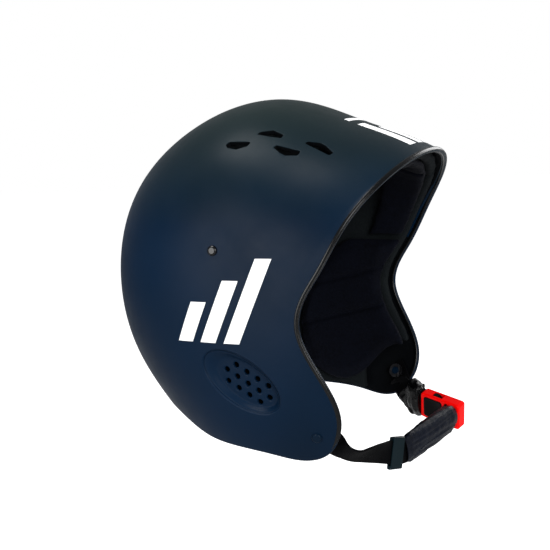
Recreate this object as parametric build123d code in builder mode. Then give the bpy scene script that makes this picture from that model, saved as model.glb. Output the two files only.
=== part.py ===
from build123d import *
import os
from functools import cache
from math import cos, pi, radians, sin

# Full-cut water sports helmet with a buckled chin strap.
# Millimetres. The wearer looks along -Y, the crown is +Z, and the wearer's left is +X.
# The origin is the centre of the head space, on the widest line of the shell.

os.makedirs("parts", exist_ok=True)

# ---------------------------------------------------------------- driving dimensions
HALF_WIDTH = 104.0          # half the width of the shell over the ears
FULLNESS = 3.26             # 2 is an ellipsoid, more makes the flanks flatter
# Side silhouette: distance from the origin every 30 degrees, from straight ahead, over the
# crown, down the back and under the chin. Ahead and below it is cut away by the face edge.
SILHOUETTE = (159.0, 137.0, 113.4, 117.0, 119.4, 123.4, 125.2, 129.3, 139.8, 168.7, 174.4, 166.0)
STATION_ANGLES = (-88, -84, -76, -66, -54, -40, -26, -12, 0, 12, 26, 40, 54, 66, 76, 84, 88)

SHELL_THICKNESS = 3.0
FOAM_OUTER = 3.4            # depth of the foam's outer face below the shell's outer face
FOAM_INNER = 12.0
PAD_OUTER = 12.4
PAD_INNER = 19.0
TRIM_PROUD = 1.0            # the rubber trim stands this far out of the shell
TRIM_OVERLAP = 2.4          # and reaches this far back from the face edge
TRIM_AHEAD = 1.6
FOAM_SETBACK = 4.5
PAD_SETBACK = 6.0
PIECE_GAP = 0.5             # between neighbouring foam pieces

WEB_WIDTH = 16.0
WEB_THICKNESS = 1.6

RIVET_RADIUS = 3.3
RIVET_SHANK = 1.9
UPPER_RIVET = (-11.8, 19.8)     # forward, up
LOWER_RIVET = (49.5, -98.6)


# ---------------------------------------------------------------- curved layers
def ahead(x, forward, up):
    """A point from its distance to the left, forward and up."""
    return Vector(x, -forward, up)


def silhouette_points(inset, shrink):
    """The side silhouette, moved in by `inset` and shrunk about the origin."""
    step = 2 * pi / len(SILHOUETTE)
    radii = [(r - inset) * shrink for r in SILHOUETTE]
    return [(-r * cos(i * step), r * sin(i * step)) for i, r in enumerate(radii)]


@cache
def layer(inset):
    """Everything inside the surface that lies `inset` below the shell's outer face."""
    with BuildPart() as body:
        for angle in STATION_ANGLES:
            station = (HALF_WIDTH - inset) * sin(radians(angle))
            shrink = cos(radians(angle)) ** (2 / FULLNESS)
            with BuildSketch(Plane.YZ.offset(station)):
                with BuildLine():
                    Spline(*silhouette_points(inset, shrink), periodic=True)
                make_face()
        loft()
    return body.part


# The face edge and the bottom edge, seen from the side: forward and up.
BROW_EDGE = (104.5, 79.0)
FACE_EDGE = ((94.6, 63.2), (74.0, 34.0), (57.7, 4.8), (46.7, -14.0), (44.2, -26.0),
             (48.6, -42.0), (60.0, -64.0), (66.0, -84.0), (62.1, -102.0))
BOTTOM_EDGE = ((53.0, -113.0), (40.7, -117.2), (19.3, -114.6), (-8.0, -111.3),
               (-34.0, -107.6), (-58.0, -98.0), (-84.0, -91.0), (-108.0, -89.0))


def side_view(points):
    return [(-forward, up) for forward, up in points]


EDGE_STEPS = 40


def edge_points(setback):
    """The face and bottom edge, moved in by `setback` at right angles to itself."""
    edge = Edge.make_spline([Vector(*p) for p in side_view((BROW_EDGE, *FACE_EDGE, *BOTTOM_EDGE))])
    points = []
    for i in range(EDGE_STEPS + 1):
        along = edge % (i / EDGE_STEPS)
        points.append(edge @ (i / EDGE_STEPS) + Vector(-along.Y, along.X) * setback)
    return points


def kept_region(setback):
    """Side view of what lies behind the face edge and above the bottom edge."""
    points = edge_points(setback)
    brow_outwards = points[0] + Vector(-107.5, 84)
    nape_outwards = points[-1] + Vector(112, -3)
    with BuildSketch() as region:
        with BuildLine():
            Spline(*points)
            Polyline(points[-1], nape_outwards, (220, 240), (-260, 240), brow_outwards, points[0])
        make_face()
    return region.sketch


def trimmed(outer_depth, inner_depth, setback, label):
    """A curved layer between two depths, cut to the face and bottom edges."""
    with BuildPart() as piece:
        add(layer(outer_depth))
        add(layer(inner_depth), mode=Mode.SUBTRACT)
        with BuildSketch(Plane.YZ.offset(-HALF_WIDTH - 5)):
            add(kept_region(setback))
        extrude(amount=2 * HALF_WIDTH + 10, mode=Mode.INTERSECT)
    piece.part.label = label
    return piece.part


# ---------------------------------------------------------------- crown vents
# Each vent: centre (left, forward, up) on the wearer's right, outward direction, corners.
VENTS = (
    ((-83.8, -2.1, 84.6), (-0.754, 0.042, 0.656),
     ((-7.7, 0.4), (-5.6, 2.8), (9.5, 2.8), (7.6, -0.8), (0.9, -3.6), (-5.6, -2.0))),
    ((-73.2, 17.4, 90.7), (-0.603, 0.251, 0.757),
     ((-9.0, -1.9), (-7.0, 0.8), (0.5, 4.2), (8.0, 1.4), (7.3, -2.0), (0.5, -2.6))),
    ((-80.1, 30.1, 79.7), (-0.690, 0.282, 0.667),
     ((-8.4, 1.4), (-6.8, 3.6), (9.2, 2.0), (8.0, -2.0), (0.4, -3.6), (-3.2, -2.2))),
    ((-69.5, 48.8, 81.3), (-0.553, 0.295, 0.779),
     ((-10.2, 0.6), (-8.4, 3.2), (-0.9, 4.6), (3.0, 2.9), (9.4, -2.8), (7.6, -5.8), (-0.8, -2.6))),
)
VENT_GROWTH_IN_FOAM = 1.5


def vent_tools(growth):
    """Prisms that cut the eight vents, grown by `growth` all round."""
    with BuildPart() as tools:
        for (x, forward, up), (nx, nf, nu), corners in VENTS:
            for side in (1, -1):
                outward = ahead(side * nx, nf, nu)
                across = Vector(0, -1, 0)
                place = Plane(origin=ahead(side * x, forward, up), x_dir=across, z_dir=outward)
                with BuildSketch(place.offset(-16)):
                    Polygon(*[(a, side * b) for a, b in corners], align=None)
                    if growth:
                        offset(amount=growth)
                    else:
                        fillet(vertices(), radius=0.6)
                extrude(amount=24)
    return tools.part


# ---------------------------------------------------------------- ear recess
EAR_CENTRE = (101.9, 2.4, -63.9)
EAR_SLOPE = -31.0           # the long axis runs down towards the face
EAR_LENGTH = 28.8           # half lengths of the oval opening
EAR_HEIGHT = 15.8
EAR_DEPTH = 4.2
HOLE_RADIUS = 1.9
HOLE_PITCH = 8.4
HOLE_ROW_PITCH = 6.7
HOLE_ROWS = (4, 5, 4)
HOLE_SHIFT = 4.0            # the hole field lies towards the front end of the dish


def ear_plane(side):
    """Tangent plane at the middle of an ear recess, its x axis down the long axis."""
    slope = radians(EAR_SLOPE)
    long_axis = ahead(0, cos(slope), sin(slope))
    x, forward, up = EAR_CENTRE
    outward = ahead(side * 0.993, 0, -0.113)
    return Plane(origin=ahead(side * x, forward, up), x_dir=long_axis, z_dir=outward)


def ear_prism(side, growth, low, high):
    """An oval prism on the ear axis between two heights above the tangent plane."""
    with BuildPart() as prism:
        with BuildSketch(ear_plane(side).offset(low)):
            Ellipse(EAR_LENGTH + growth, EAR_HEIGHT + growth)
        extrude(amount=high - low)
    return prism.part


def ear_grille(side, label):
    """A dished oval plate that closes the ear opening from inside, with sound holes."""
    floor = -EAR_DEPTH
    plate = 1.6
    flange = 2.6
    with BuildPart() as grille:
        with BuildSketch(ear_plane(side).offset(floor - plate)):
            Ellipse(EAR_LENGTH + flange, EAR_HEIGHT + flange)
        extrude(amount=plate)
        add(layer(SHELL_THICKNESS + 0.1), mode=Mode.INTERSECT)
        with BuildSketch(ear_plane(side).offset(floor - plate)):
            Ellipse(EAR_LENGTH - 0.2, EAR_HEIGHT - 0.2)
        extrude(amount=plate + 6)
        with BuildSketch(ear_plane(side).offset(floor)):
            Ellipse(EAR_LENGTH - 3.6, EAR_HEIGHT - 3.0)
        extrude(amount=8, taper=-18, mode=Mode.SUBTRACT)
        for row, count in enumerate(HOLE_ROWS):
            height = (row - 1) * HOLE_ROW_PITCH
            with BuildSketch(ear_plane(side).offset(floor)):
                with Locations((HOLE_SHIFT, height)):
                    with GridLocations(HOLE_PITCH, 1, count, 1):
                        Circle(HOLE_RADIUS)
            extrude(amount=-4, mode=Mode.SUBTRACT)
        add(layer(0.3), mode=Mode.INTERSECT)
    grille.part.label = label
    return grille.part


# ---------------------------------------------------------------- rivets
def lower_rivet_plane(side):
    forward, up = LOWER_RIVET
    outward = ahead(side * 0.932, 0.176, -0.316)
    return Plane(origin=ahead(side * 91.7, forward, up), z_dir=outward)


def upper_rivet_plane(side):
    forward, up = UPPER_RIVET
    return Plane(origin=ahead(side * 103.8, forward, up), z_dir=(side, 0, 0))


def rivet(place, length, head):
    """A domed rivet: head on the shell, shank inwards, upset end."""
    with BuildPart() as fastener:
        with BuildSketch(place.offset(0.05)):
            Circle(RIVET_RADIUS)
        extrude(amount=head)
        rim = fastener.edges().sort_by(lambda e: (e.center() - place.origin).dot(place.z_dir))[-1]
        fillet(rim, radius=head * 0.9)
        with BuildSketch(place.offset(-length)):
            Circle(RIVET_SHANK)
        extrude(amount=length + 0.1)
        with BuildSketch(place.offset(-length - 0.8)):
            Circle(RIVET_SHANK + 0.9)
        extrude(amount=0.8)
    return fastener.part


def washer(place, depth, radius, thickness):
    with BuildPart() as ring:
        with BuildSketch(place.offset(-depth - thickness)):
            Circle(radius)
            Circle(RIVET_SHANK + 0.05, mode=Mode.SUBTRACT)
        extrude(amount=thickness)
    return ring.part


SIDES = (-1, 1)
UPPER_GRIP = SHELL_THICKNESS + 1.5
LOWER_GRIP = SHELL_THICKNESS + WEB_THICKNESS + 3.6


# ---------------------------------------------------------------- shell and its fittings
def rivet_holes(growth):
    with BuildPart() as drill:
        for side in SIDES:
            for place in (upper_rivet_plane(side), lower_rivet_plane(side)):
                with BuildSketch(place.offset(-20)):
                    Circle(RIVET_SHANK + growth)
                extrude(amount=24)
    return drill.part


with BuildPart() as outer_shell:
    add(trimmed(0, SHELL_THICKNESS, 0, "outer_shell"))
    add(vent_tools(0), mode=Mode.SUBTRACT)
    for side in SIDES:
        add(ear_prism(side, 0, -12, 8), mode=Mode.SUBTRACT)
    add(rivet_holes(0.03), mode=Mode.SUBTRACT)
outer_shell.part.label = "outer_shell"

ear_grille_right = ear_grille(-1, "ear_grille_right")
ear_grille_left = ear_grille(1, "ear_grille_left")

with BuildPart() as face_trim:
    add(layer(-TRIM_PROUD))
    add(layer(SHELL_THICKNESS + TRIM_PROUD), mode=Mode.SUBTRACT)
    with BuildSketch(Plane.YZ.offset(-HALF_WIDTH - 5)):
        add(kept_region(-TRIM_AHEAD))
        add(kept_region(TRIM_OVERLAP), mode=Mode.SUBTRACT)
        with Locations((-90, 10)):
            Rectangle(140, 226, mode=Mode.INTERSECT)
    extrude(amount=2 * HALF_WIDTH + 10, mode=Mode.INTERSECT)
    add(trimmed(0, SHELL_THICKNESS, 0, "edge"), mode=Mode.SUBTRACT)
face_trim.part.label = "face_trim"

with BuildPart() as upper_rivets:
    for side in SIDES:
        add(rivet(upper_rivet_plane(side), UPPER_GRIP, 1.7))
upper_rivets.part.label = "upper_rivets"

with BuildPart() as lower_rivets:
    for side in SIDES:
        add(rivet(lower_rivet_plane(side), LOWER_GRIP, 1.3))
lower_rivets.part.label = "lower_rivets"

with BuildPart() as upper_washers:
    for side in SIDES:
        add(washer(upper_rivet_plane(side), SHELL_THICKNESS + 0.4, 5.0, 1.0))
upper_washers.part.label = "upper_washers"

with BuildPart() as lower_washers:
    for side in SIDES:
        add(washer(lower_rivet_plane(side), SHELL_THICKNESS + WEB_THICKNESS + 2.5, 5.5, 1.0))
lower_washers.part.label = "lower_washers"


# ---------------------------------------------------------------- foam liner
SIDE_FOAM_FROM = 60.0       # the side pieces lie beyond this distance from the middle
FRONT_SPLIT = 62.0          # degrees above straight ahead
REAR_SPLIT = 128.0
STRAP_POCKET = 27.0         # radius of the gap in the foam behind the lower rivets
WASHER_POCKET = 6.5
POCKET_DEPTH = 8.6          # of the upper washers' pockets, below the shell's outer face


def wedge(start, stop):
    """Side-view sector about the X axis between two angles above straight ahead."""
    reach = 260
    middle = (start + stop) / 2
    points = [(0, 0)]
    for angle in (start, middle, stop):
        points.append((-reach * cos(radians(angle)), reach * sin(radians(angle))))
    with BuildSketch() as sector:
        Polygon(*points, align=None)
    return sector.sketch


def side_cylinders(place, radius):
    """A cylinder along X on each side, about a point of the side view."""
    forward, up = place
    with BuildPart() as pair:
        for side in SIDES:
            with BuildSketch(Plane.YZ.offset(side * 60)):
                with Locations((-forward, up)):
                    Circle(radius)
            extrude(amount=side * 50)
    return pair.part


def rivet_pockets():
    """Room behind the shell for the upper washers, and right through the foam for the straps."""
    with BuildPart() as tools:
        add(side_cylinders(UPPER_RIVET, WASHER_POCKET))
        add(layer(POCKET_DEPTH), mode=Mode.SUBTRACT)
        add(side_cylinders(LOWER_RIVET, STRAP_POCKET))
    return tools.part


with BuildPart() as foam:
    add(trimmed(FOAM_OUTER, FOAM_INNER, FOAM_SETBACK, "foam"))
    add(vent_tools(VENT_GROWTH_IN_FOAM), mode=Mode.SUBTRACT)
    add(rivet_pockets(), mode=Mode.SUBTRACT)
    for side in SIDES:
        add(ear_prism(side, 3.2, -30, 8), mode=Mode.SUBTRACT)


def foam_middle(start, stop, label):
    with BuildPart() as piece:
        add(foam.part)
        half_width = SIDE_FOAM_FROM - PIECE_GAP / 2
        with BuildSketch(Plane.YZ.offset(-half_width)):
            add(wedge(start, stop))
        extrude(amount=2 * half_width, mode=Mode.INTERSECT)
    piece.part.label = label
    return piece.part


def foam_side(side, label):
    with BuildPart() as piece:
        add(foam.part)
        with Locations((side * (SIDE_FOAM_FROM + PIECE_GAP / 2 + 30), 0, 0)):
            Box(60, 400, 400, mode=Mode.INTERSECT)
    piece.part.label = label
    return piece.part


foam_front = foam_middle(10, FRONT_SPLIT - 0.15, "foam_front")
foam_crown = foam_middle(FRONT_SPLIT + 0.15, REAR_SPLIT - 0.15, "foam_crown")
foam_rear = foam_middle(REAR_SPLIT + 0.15, 230, "foam_rear")
foam_right = foam_side(-1, "foam_right")
foam_left = foam_side(1, "foam_left")


# ---------------------------------------------------------------- comfort pads
PAD_SPLIT = 12.0            # height at which the brow pad meets the cheek pads
BROW_PAD = ((140, PAD_SPLIT + 0.3), (26, PAD_SPLIT + 0.3), (42, 50), (68, 120), (140, 120))
CHEEK_PAD_BACK = ((10.0, PAD_SPLIT - 0.3), (-16.0, -8.0), (-32.0, -42.0), (-30.0, -76.0),
                  (-12.0, -99.0), (14.0, -103.0), (28.0, -94.0), (42.0, -80.0), (56.0, -75.0))


def pad_over(start, stop, half_width, label):
    """A pad on the middle of the liner between two angles above straight ahead."""
    with BuildPart() as pad:
        add(trimmed(PAD_OUTER, PAD_INNER, PAD_SETBACK, label))
        with BuildSketch(Plane.YZ.offset(-half_width)):
            add(wedge(start, stop))
        extrude(amount=2 * half_width, mode=Mode.INTERSECT)
    pad.part.label = label
    return pad.part


def cheek_pad(side, label):
    with BuildPart() as pad:
        add(trimmed(PAD_OUTER, PAD_INNER, PAD_SETBACK, label))
        with BuildSketch(Plane.YZ.offset(side * 40)):
            with BuildLine():
                back = Spline(*side_view(CHEEK_PAD_BACK))
                Polyline(back @ 1, (-90, -75), (-90, PAD_SPLIT - 0.3), back @ 0)
            make_face()
        extrude(amount=side * 70, mode=Mode.INTERSECT)
    pad.part.label = label
    return pad.part


with BuildPart() as brow_pad:
    add(trimmed(PAD_OUTER, PAD_INNER, PAD_SETBACK, "brow_pad"))
    with BuildSketch(Plane.YZ.offset(-HALF_WIDTH)):
        Polygon(*side_view(BROW_PAD), align=None)
    extrude(amount=2 * HALF_WIDTH, mode=Mode.INTERSECT)
brow_pad.part.label = "brow_pad"

crown_pad = pad_over(74, 112, 38.0, "crown_pad")
nape_pad = pad_over(186, 214, 48.0, "nape_pad")
cheek_pad_right = cheek_pad(-1, "cheek_pad_right")
cheek_pad_left = cheek_pad(1, "cheek_pad_left")


# ---------------------------------------------------------------- buckle frame
BUCKLE_MOUTH = ahead(50.0, 80.0, -110.3)
BUCKLE_AXIS = ahead(-0.294, 0.940, -0.176)      # from the mouth towards the strap end
BUCKLE_FACE = ahead(-0.908, -0.332, -0.255)     # outward from the broad face, to the right
buckle = Plane(origin=BUCKLE_MOUTH, x_dir=BUCKLE_AXIS, z_dir=BUCKLE_FACE)

HOUSING_LENGTH = 33.0
HOUSING_WIDTH = 21.0
HOUSING_THICKNESS = 9.0
CAVITY_HALF_WIDTH = 8.0
CAVITY_LENGTH = 18.6
CAVITY_THICKNESS = 5.0
SLOT_WIDTH = WEB_WIDTH + 0.8
OUTER_SLOT = (25.0, 28.0)       # along the buckle axis
INNER_SLOT = (20.2, 22.8)
WINDOW = (8.6, 17.4)


def buckle_box(x_from, x_to, half_width, half_thickness):
    """A box in the buckle's own frame, centred across and through the buckle."""
    with BuildPart() as box:
        with BuildSketch(buckle.offset(-half_thickness)):
            with Locations(((x_from + x_to) / 2, 0)):
                Rectangle(x_to - x_from, 2 * half_width)
        extrude(amount=2 * half_thickness)
    return box.part


with BuildPart() as buckle_housing:
    half = HOUSING_THICKNESS / 2
    with BuildSketch(buckle.offset(-half)):
        with Locations((HOUSING_LENGTH / 2, 0)):
            RectangleRounded(HOUSING_LENGTH, HOUSING_WIDTH, 2.2)
    extrude(amount=HOUSING_THICKNESS)
    fillet(buckle_housing.edges().filter_by(lambda e: e.length > 15), radius=1.4)
    cavity = CAVITY_THICKNESS / 2
    add(buckle_box(-2, CAVITY_LENGTH, CAVITY_HALF_WIDTH, cavity), mode=Mode.SUBTRACT)
    add(buckle_box(*WINDOW, HOUSING_WIDTH, cavity), mode=Mode.SUBTRACT)
    for slot in (OUTER_SLOT, INNER_SLOT):
        add(buckle_box(*slot, SLOT_WIDTH / 2, half + 1), mode=Mode.SUBTRACT)
buckle_housing.part.label = "buckle_housing"

LATCH_BACK = -11.0
LATCH_FRONT = -0.4
LATCH_SLOT = (-7.6, -4.4)
TONGUE_HALF_WIDTH = 2.4
PRONG_INNER = 5.2
PRONG_OUTER = 7.6
BARB_OUTER = 10.2
PRONG_START = -0.1
PRONG_END = 17.0

with BuildPart() as buckle_latch:
    half = 3.4
    with BuildSketch(buckle.offset(-half)):
        with Locations(((LATCH_BACK + LATCH_FRONT) / 2, 0)):
            RectangleRounded(LATCH_FRONT - LATCH_BACK, HOUSING_WIDTH - 0.6, 2.0)
    extrude(amount=2 * half)
    add(buckle_box(*LATCH_SLOT, SLOT_WIDTH / 2, half + 1), mode=Mode.SUBTRACT)
    add(buckle_box(LATCH_FRONT - 0.5, 16.0, TONGUE_HALF_WIDTH, 1.6))
buckle_latch.part.label = "buckle_latch"


def latch_prong(side, label):
    """A spring arm with a barb that stands in the side window of the housing."""
    outline = ((PRONG_START, PRONG_INNER), (PRONG_START, PRONG_OUTER), (9.2, PRONG_OUTER),
               (9.2, BARB_OUTER), (13.0, BARB_OUTER), (PRONG_END, PRONG_OUTER - 0.8),
               (PRONG_END, PRONG_INNER))
    with BuildPart() as prong:
        with BuildSketch(buckle.offset(-2.1)):
            Polygon(*[(x, side * y) for x, y in outline], align=None)
        extrude(amount=4.2)
    prong.part.label = label
    return prong.part


# The buckle's y axis points up.
prong_upper = latch_prong(1, "prong_upper")
prong_lower = latch_prong(-1, "prong_lower")


# ---------------------------------------------------------------- webbing
def ribbon(stations, width, thickness, shift=0.0):
    """Flat webbing through (centre, width direction) stations, optionally shifted off them."""
    centres = [centre for centre, _ in stations]
    with BuildPart() as web:
        for i, (centre, across) in enumerate(stations):
            run = centres[min(i + 1, len(centres) - 1)] - centres[max(i - 1, 0)]
            place = Plane(origin=centre, x_dir=across, z_dir=run)
            with BuildSketch(place):
                with Locations((0, shift)):
                    Rectangle(width, thickness)
        loft(ruled=True)
    return web.part


def buckle_point(x, z):
    return buckle.origin + buckle.x_dir * x + buckle.z_dir * z


# Right strap, from where it leaves the shell tip to the outer slot of the housing.
SWING_FORWARD = 57.0        # the straps swing about the line through both shell tips
SWING_UP = -108.0
TIP_X = 78.6                # riveted ends; the swinging straps lie against their inner face
STRAP_TIP_X = 76.2
EDGE_TILT = ahead(0, 0.605, 0.796)
SLIDER_CENTRE = ahead(-33.0, 82.6, -123.5)
run_start = ahead(-63.0, 70.5, -117.2)
run_across = ahead(0.18, 0.073, 0.961)
run_dir = (SLIDER_CENTRE - run_start).normalized()
run_end = SLIDER_CENTRE + run_dir * 7.5
slot_approach = buckle_point(26.5, 9.0)

strap_route = (
    (ahead(-STRAP_TIP_X, SWING_FORWARD, SWING_UP), EDGE_TILT),
    (ahead(-75.2, 62.0, -112.2), ahead(-0.35, 0.47, 0.80)),
    (ahead(-70.5, 66.6, -115.3), ahead(-0.72, 0.30, 0.62)),
    (run_start, run_across),
    (run_end, run_across),
    (slot_approach, buckle.y_dir),
    (buckle_point(26.5, -6.0), buckle.y_dir),
)

with BuildPart() as right_strap:
    add(ribbon(strap_route, WEB_WIDTH, WEB_THICKNESS))
    with BuildSketch(buckle.offset(-6.4)):
        with Locations(((INNER_SLOT[0] + OUTER_SLOT[1]) / 2 - 0.1, 0)):
            Rectangle(6.8, WEB_WIDTH)
    extrude(amount=WEB_THICKNESS)
right_strap.part.label = "right_strap"

return_route = (
    (SLIDER_CENTRE + run_dir * 10.5 - buckle.x_dir * 2.3, run_across),
    (buckle_point(21.5, 9.0), buckle.y_dir),
    (buckle_point(21.5, -4.4), buckle.y_dir),
)
with BuildPart() as strap_return:
    add(ribbon(return_route, WEB_WIDTH, WEB_THICKNESS))
strap_return.part.label = "strap_return"

# Slider: a flat frame with three bars, threaded on the straight run of the right strap.
SLIDER_LENGTH = 12.0
SLIDER_WIDTH = 22.0
SLIDER_THICKNESS = 3.6
slider_place = Plane(origin=SLIDER_CENTRE - run_dir * (SLIDER_LENGTH / 2), x_dir=run_across, z_dir=run_dir)

with BuildPart() as strap_slider:
    with BuildSketch(slider_place):
        RectangleRounded(SLIDER_WIDTH, SLIDER_THICKNESS, 1.2)
        Rectangle(WEB_WIDTH + 1.2, WEB_THICKNESS + 0.8, mode=Mode.SUBTRACT)
    extrude(amount=SLIDER_LENGTH)
    bar_face = Plane(origin=SLIDER_CENTRE, x_dir=run_across, z_dir=-slider_place.y_dir)
    with BuildSketch(bar_face):
        with Locations((0, -2.1), (0, 2.1)):
            Rectangle(WEB_WIDTH, 1.9)
    extrude(amount=SLIDER_THICKNESS, mode=Mode.SUBTRACT)
strap_slider.part.label = "strap_slider"

# Padded sleeve over both layers of webbing between the slider and the buckle.
SLEEVE_WIDTH = 21.0
sleeve_start = SLIDER_CENTRE + run_dir * 9.5 - buckle.x_dir * 1.0
sleeve_end = buckle_point(24.0, 6.2)
sleeve_run = sleeve_end - sleeve_start


def sleeve_body(widths, thicknesses):
    """Rounded sections along the sleeve, blended into one soft body."""
    steps = len(widths) - 1
    with BuildPart() as body:
        for i, (width, thickness) in enumerate(zip(widths, thicknesses)):
            share = i / steps
            across = run_across * (1 - share) + buckle.y_dir * share
            place = Plane(origin=sleeve_start + sleeve_run * share, x_dir=across, z_dir=sleeve_run)
            with BuildSketch(place):
                RectangleRounded(width, thickness, thickness * 0.42)
        loft(ruled=True)
    return body.part


with BuildPart() as chin_sleeve:
    add(sleeve_body((SLEEVE_WIDTH - 1.5, SLEEVE_WIDTH, SLEEVE_WIDTH, SLEEVE_WIDTH, SLEEVE_WIDTH - 2.0),
                    (8.8, 10.8, 12.2, 12.8, 12.8)))
    add(sleeve_body((WEB_WIDTH + 2.2,) * 5, (6.8, 8.2, 9.4, 10.2, 11.0)), mode=Mode.SUBTRACT)
chin_sleeve.part.label = "chin_sleeve"

# Left strap: a short run from the left shell tip to the bar of the latch.
left_route = (
    (ahead(STRAP_TIP_X, SWING_FORWARD, SWING_UP), EDGE_TILT),
    (ahead(74.6, 61.0, -112.6), ahead(0.20, 0.30, 0.93)),
    (ahead(67.0, 65.0, -113.4), ahead(0.0, 0.20, 0.97)),
    (buckle_point(-6.0, -8.5), buckle.y_dir),
    (buckle_point(-6.0, -4.2), buckle.y_dir),
    (buckle_point(-6.0, 2.4), buckle.y_dir),
)
with BuildPart() as left_strap:
    add(ribbon(left_route, WEB_WIDTH, WEB_THICKNESS))
left_strap.part.label = "left_strap"


ANCHOR_GAP = 1.2            # between the shell and the strap end riveted inside it


def anchor(side, label):
    """The riveted end of a strap, flat against the inside of the shell tip."""
    place = lower_rivet_plane(side)
    grip = SHELL_THICKNESS + ANCHOR_GAP + WEB_THICKNESS / 2
    centre = place.origin - place.z_dir * grip
    end = ahead(side * TIP_X, SWING_FORWARD - 0.4, SWING_UP + 0.5)
    start = centre - (end - centre).normalized() * 6.5 - place.z_dir * ANCHOR_GAP
    across = (end - centre).cross(place.z_dir) * side * -1
    stations = ((start, across), (centre + (end - centre) * 0.35, across), (end, EDGE_TILT))
    with BuildPart() as tab:
        add(ribbon(stations, WEB_WIDTH - 2.0, WEB_THICKNESS))
        with BuildSketch(place.offset(-12)):
            Circle(RIVET_SHANK + 0.05)
        extrude(amount=14, mode=Mode.SUBTRACT)
    tab.part.label = label
    return tab.part


strap_anchor_right = anchor(-1, "strap_anchor_right")
strap_anchor_left = anchor(1, "strap_anchor_left")

if __name__ == "__main__":
    named = [outer_shell.part, ear_grille_right, ear_grille_left, face_trim.part, upper_rivets.part,
             lower_rivets.part, upper_washers.part, lower_washers.part, foam_front, foam_crown,
             foam_rear, foam_right, foam_left, brow_pad.part, crown_pad, nape_pad, cheek_pad_right,
             cheek_pad_left, buckle_housing.part, buckle_latch.part, prong_upper, prong_lower,
             right_strap.part, strap_return.part, strap_slider.part, chin_sleeve.part,
             left_strap.part, strap_anchor_right, strap_anchor_left]
    for part in named:
        export_step(part, f"parts/{part.label}.step")
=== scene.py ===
"""Looks of a full-cut water sports helmet, built around its CAD frame.

Metres. The wearer looks along -Y, the crown is +Z and the wearer's left is +X. Points of the
helmet are written as (x, forward, up) in millimetres and go through ahead().
"""
from math import cos, pi, radians, sin

import bmesh
import bpy
import numpy as np
from mathutils import Matrix, Vector
from mathutils.noise import noise


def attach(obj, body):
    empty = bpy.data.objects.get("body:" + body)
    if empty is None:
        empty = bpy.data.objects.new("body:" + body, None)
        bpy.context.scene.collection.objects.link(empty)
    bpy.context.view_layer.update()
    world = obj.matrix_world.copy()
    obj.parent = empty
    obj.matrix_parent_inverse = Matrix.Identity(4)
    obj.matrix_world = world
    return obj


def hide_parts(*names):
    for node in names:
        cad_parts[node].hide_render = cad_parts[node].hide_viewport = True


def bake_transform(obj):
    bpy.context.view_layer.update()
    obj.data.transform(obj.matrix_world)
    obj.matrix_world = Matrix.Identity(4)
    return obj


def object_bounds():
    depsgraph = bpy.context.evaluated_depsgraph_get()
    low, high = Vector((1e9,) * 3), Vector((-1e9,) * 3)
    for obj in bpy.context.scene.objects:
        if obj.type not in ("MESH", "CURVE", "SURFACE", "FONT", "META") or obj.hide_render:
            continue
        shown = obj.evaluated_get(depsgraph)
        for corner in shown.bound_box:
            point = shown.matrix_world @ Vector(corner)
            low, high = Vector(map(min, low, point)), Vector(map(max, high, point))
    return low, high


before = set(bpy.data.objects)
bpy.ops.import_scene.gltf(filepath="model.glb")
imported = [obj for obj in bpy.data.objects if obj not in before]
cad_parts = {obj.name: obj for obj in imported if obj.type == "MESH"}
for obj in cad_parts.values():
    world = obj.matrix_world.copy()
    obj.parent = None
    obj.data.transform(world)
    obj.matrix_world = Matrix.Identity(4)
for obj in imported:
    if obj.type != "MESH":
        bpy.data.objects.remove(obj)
cad_low, cad_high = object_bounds()

MM = 0.001


# ---------------------------------------------------------------- driving dimensions
HALF_WIDTH = 104.0
FULLNESS = 3.26             # exponent of the shell's cross-sections
# Radii of the side outline, every 30 degrees from straight ahead, up over the crown and round.
SILHOUETTE = (159.0, 137.0, 113.4, 117.0, 119.4, 123.4, 125.2, 129.3, 139.8, 168.7, 174.4, 166.0)
# The rim of the side outline, as (forward, up) points from the brow to the nape.
BROW_EDGE = (106.0, 77.8)
FACE_EDGE = ((94.6, 63.2), (74.0, 34.0), (57.7, 4.8), (46.7, -14.0), (44.2, -26.0),
             (48.6, -42.0), (60.0, -64.0), (66.0, -84.0), (62.1, -102.0))
BOTTOM_EDGE = ((53.0, -113.0), (40.7, -117.2), (19.3, -114.6), (-8.0, -111.3),
               (-34.0, -107.6), (-58.0, -98.0), (-84.0, -91.0), (-108.0, -89.0))
SHELL_THICKNESS = 3.0
TIP_ANGLE = -63.0           # the face trim ends where the rim passes this angle
FLARE = 0.9                 # the shell turns outwards by this much at the brow
FLARE_REACH = 13.0
FLARE_ANGLES = (2, 26, 60)  # degrees: where it starts, what it needs to grow, where it stops
BROW_ANGLE = 40             # the angle that gives the middle of the brow its whole flare

# Crown vents of one side: centre, normal, and corners in the plane through the centre.
VENTS = (
    ((-83.8, -2.1, 84.6), (-0.754, 0.042, 0.656),
     ((-7.7, 0.4), (-5.6, 2.8), (9.5, 2.8), (7.6, -0.8), (0.9, -3.6), (-5.6, -2.0))),
    ((-73.2, 17.4, 90.7), (-0.603, 0.251, 0.757),
     ((-9.0, -1.9), (-7.0, 0.8), (0.5, 4.2), (8.0, 1.4), (7.3, -2.0), (0.5, -2.6))),
    ((-80.1, 30.1, 79.7), (-0.690, 0.282, 0.667),
     ((-8.4, 1.4), (-6.8, 3.6), (9.2, 2.0), (8.0, -2.0), (0.4, -3.6), (-3.2, -2.2))),
    ((-69.5, 48.8, 81.3), (-0.553, 0.295, 0.779),
     ((-10.2, 0.6), (-8.4, 3.2), (-0.9, 4.6), (3.0, 2.9), (9.4, -2.8), (7.6, -5.8), (-0.8, -2.6))),
)

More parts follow.
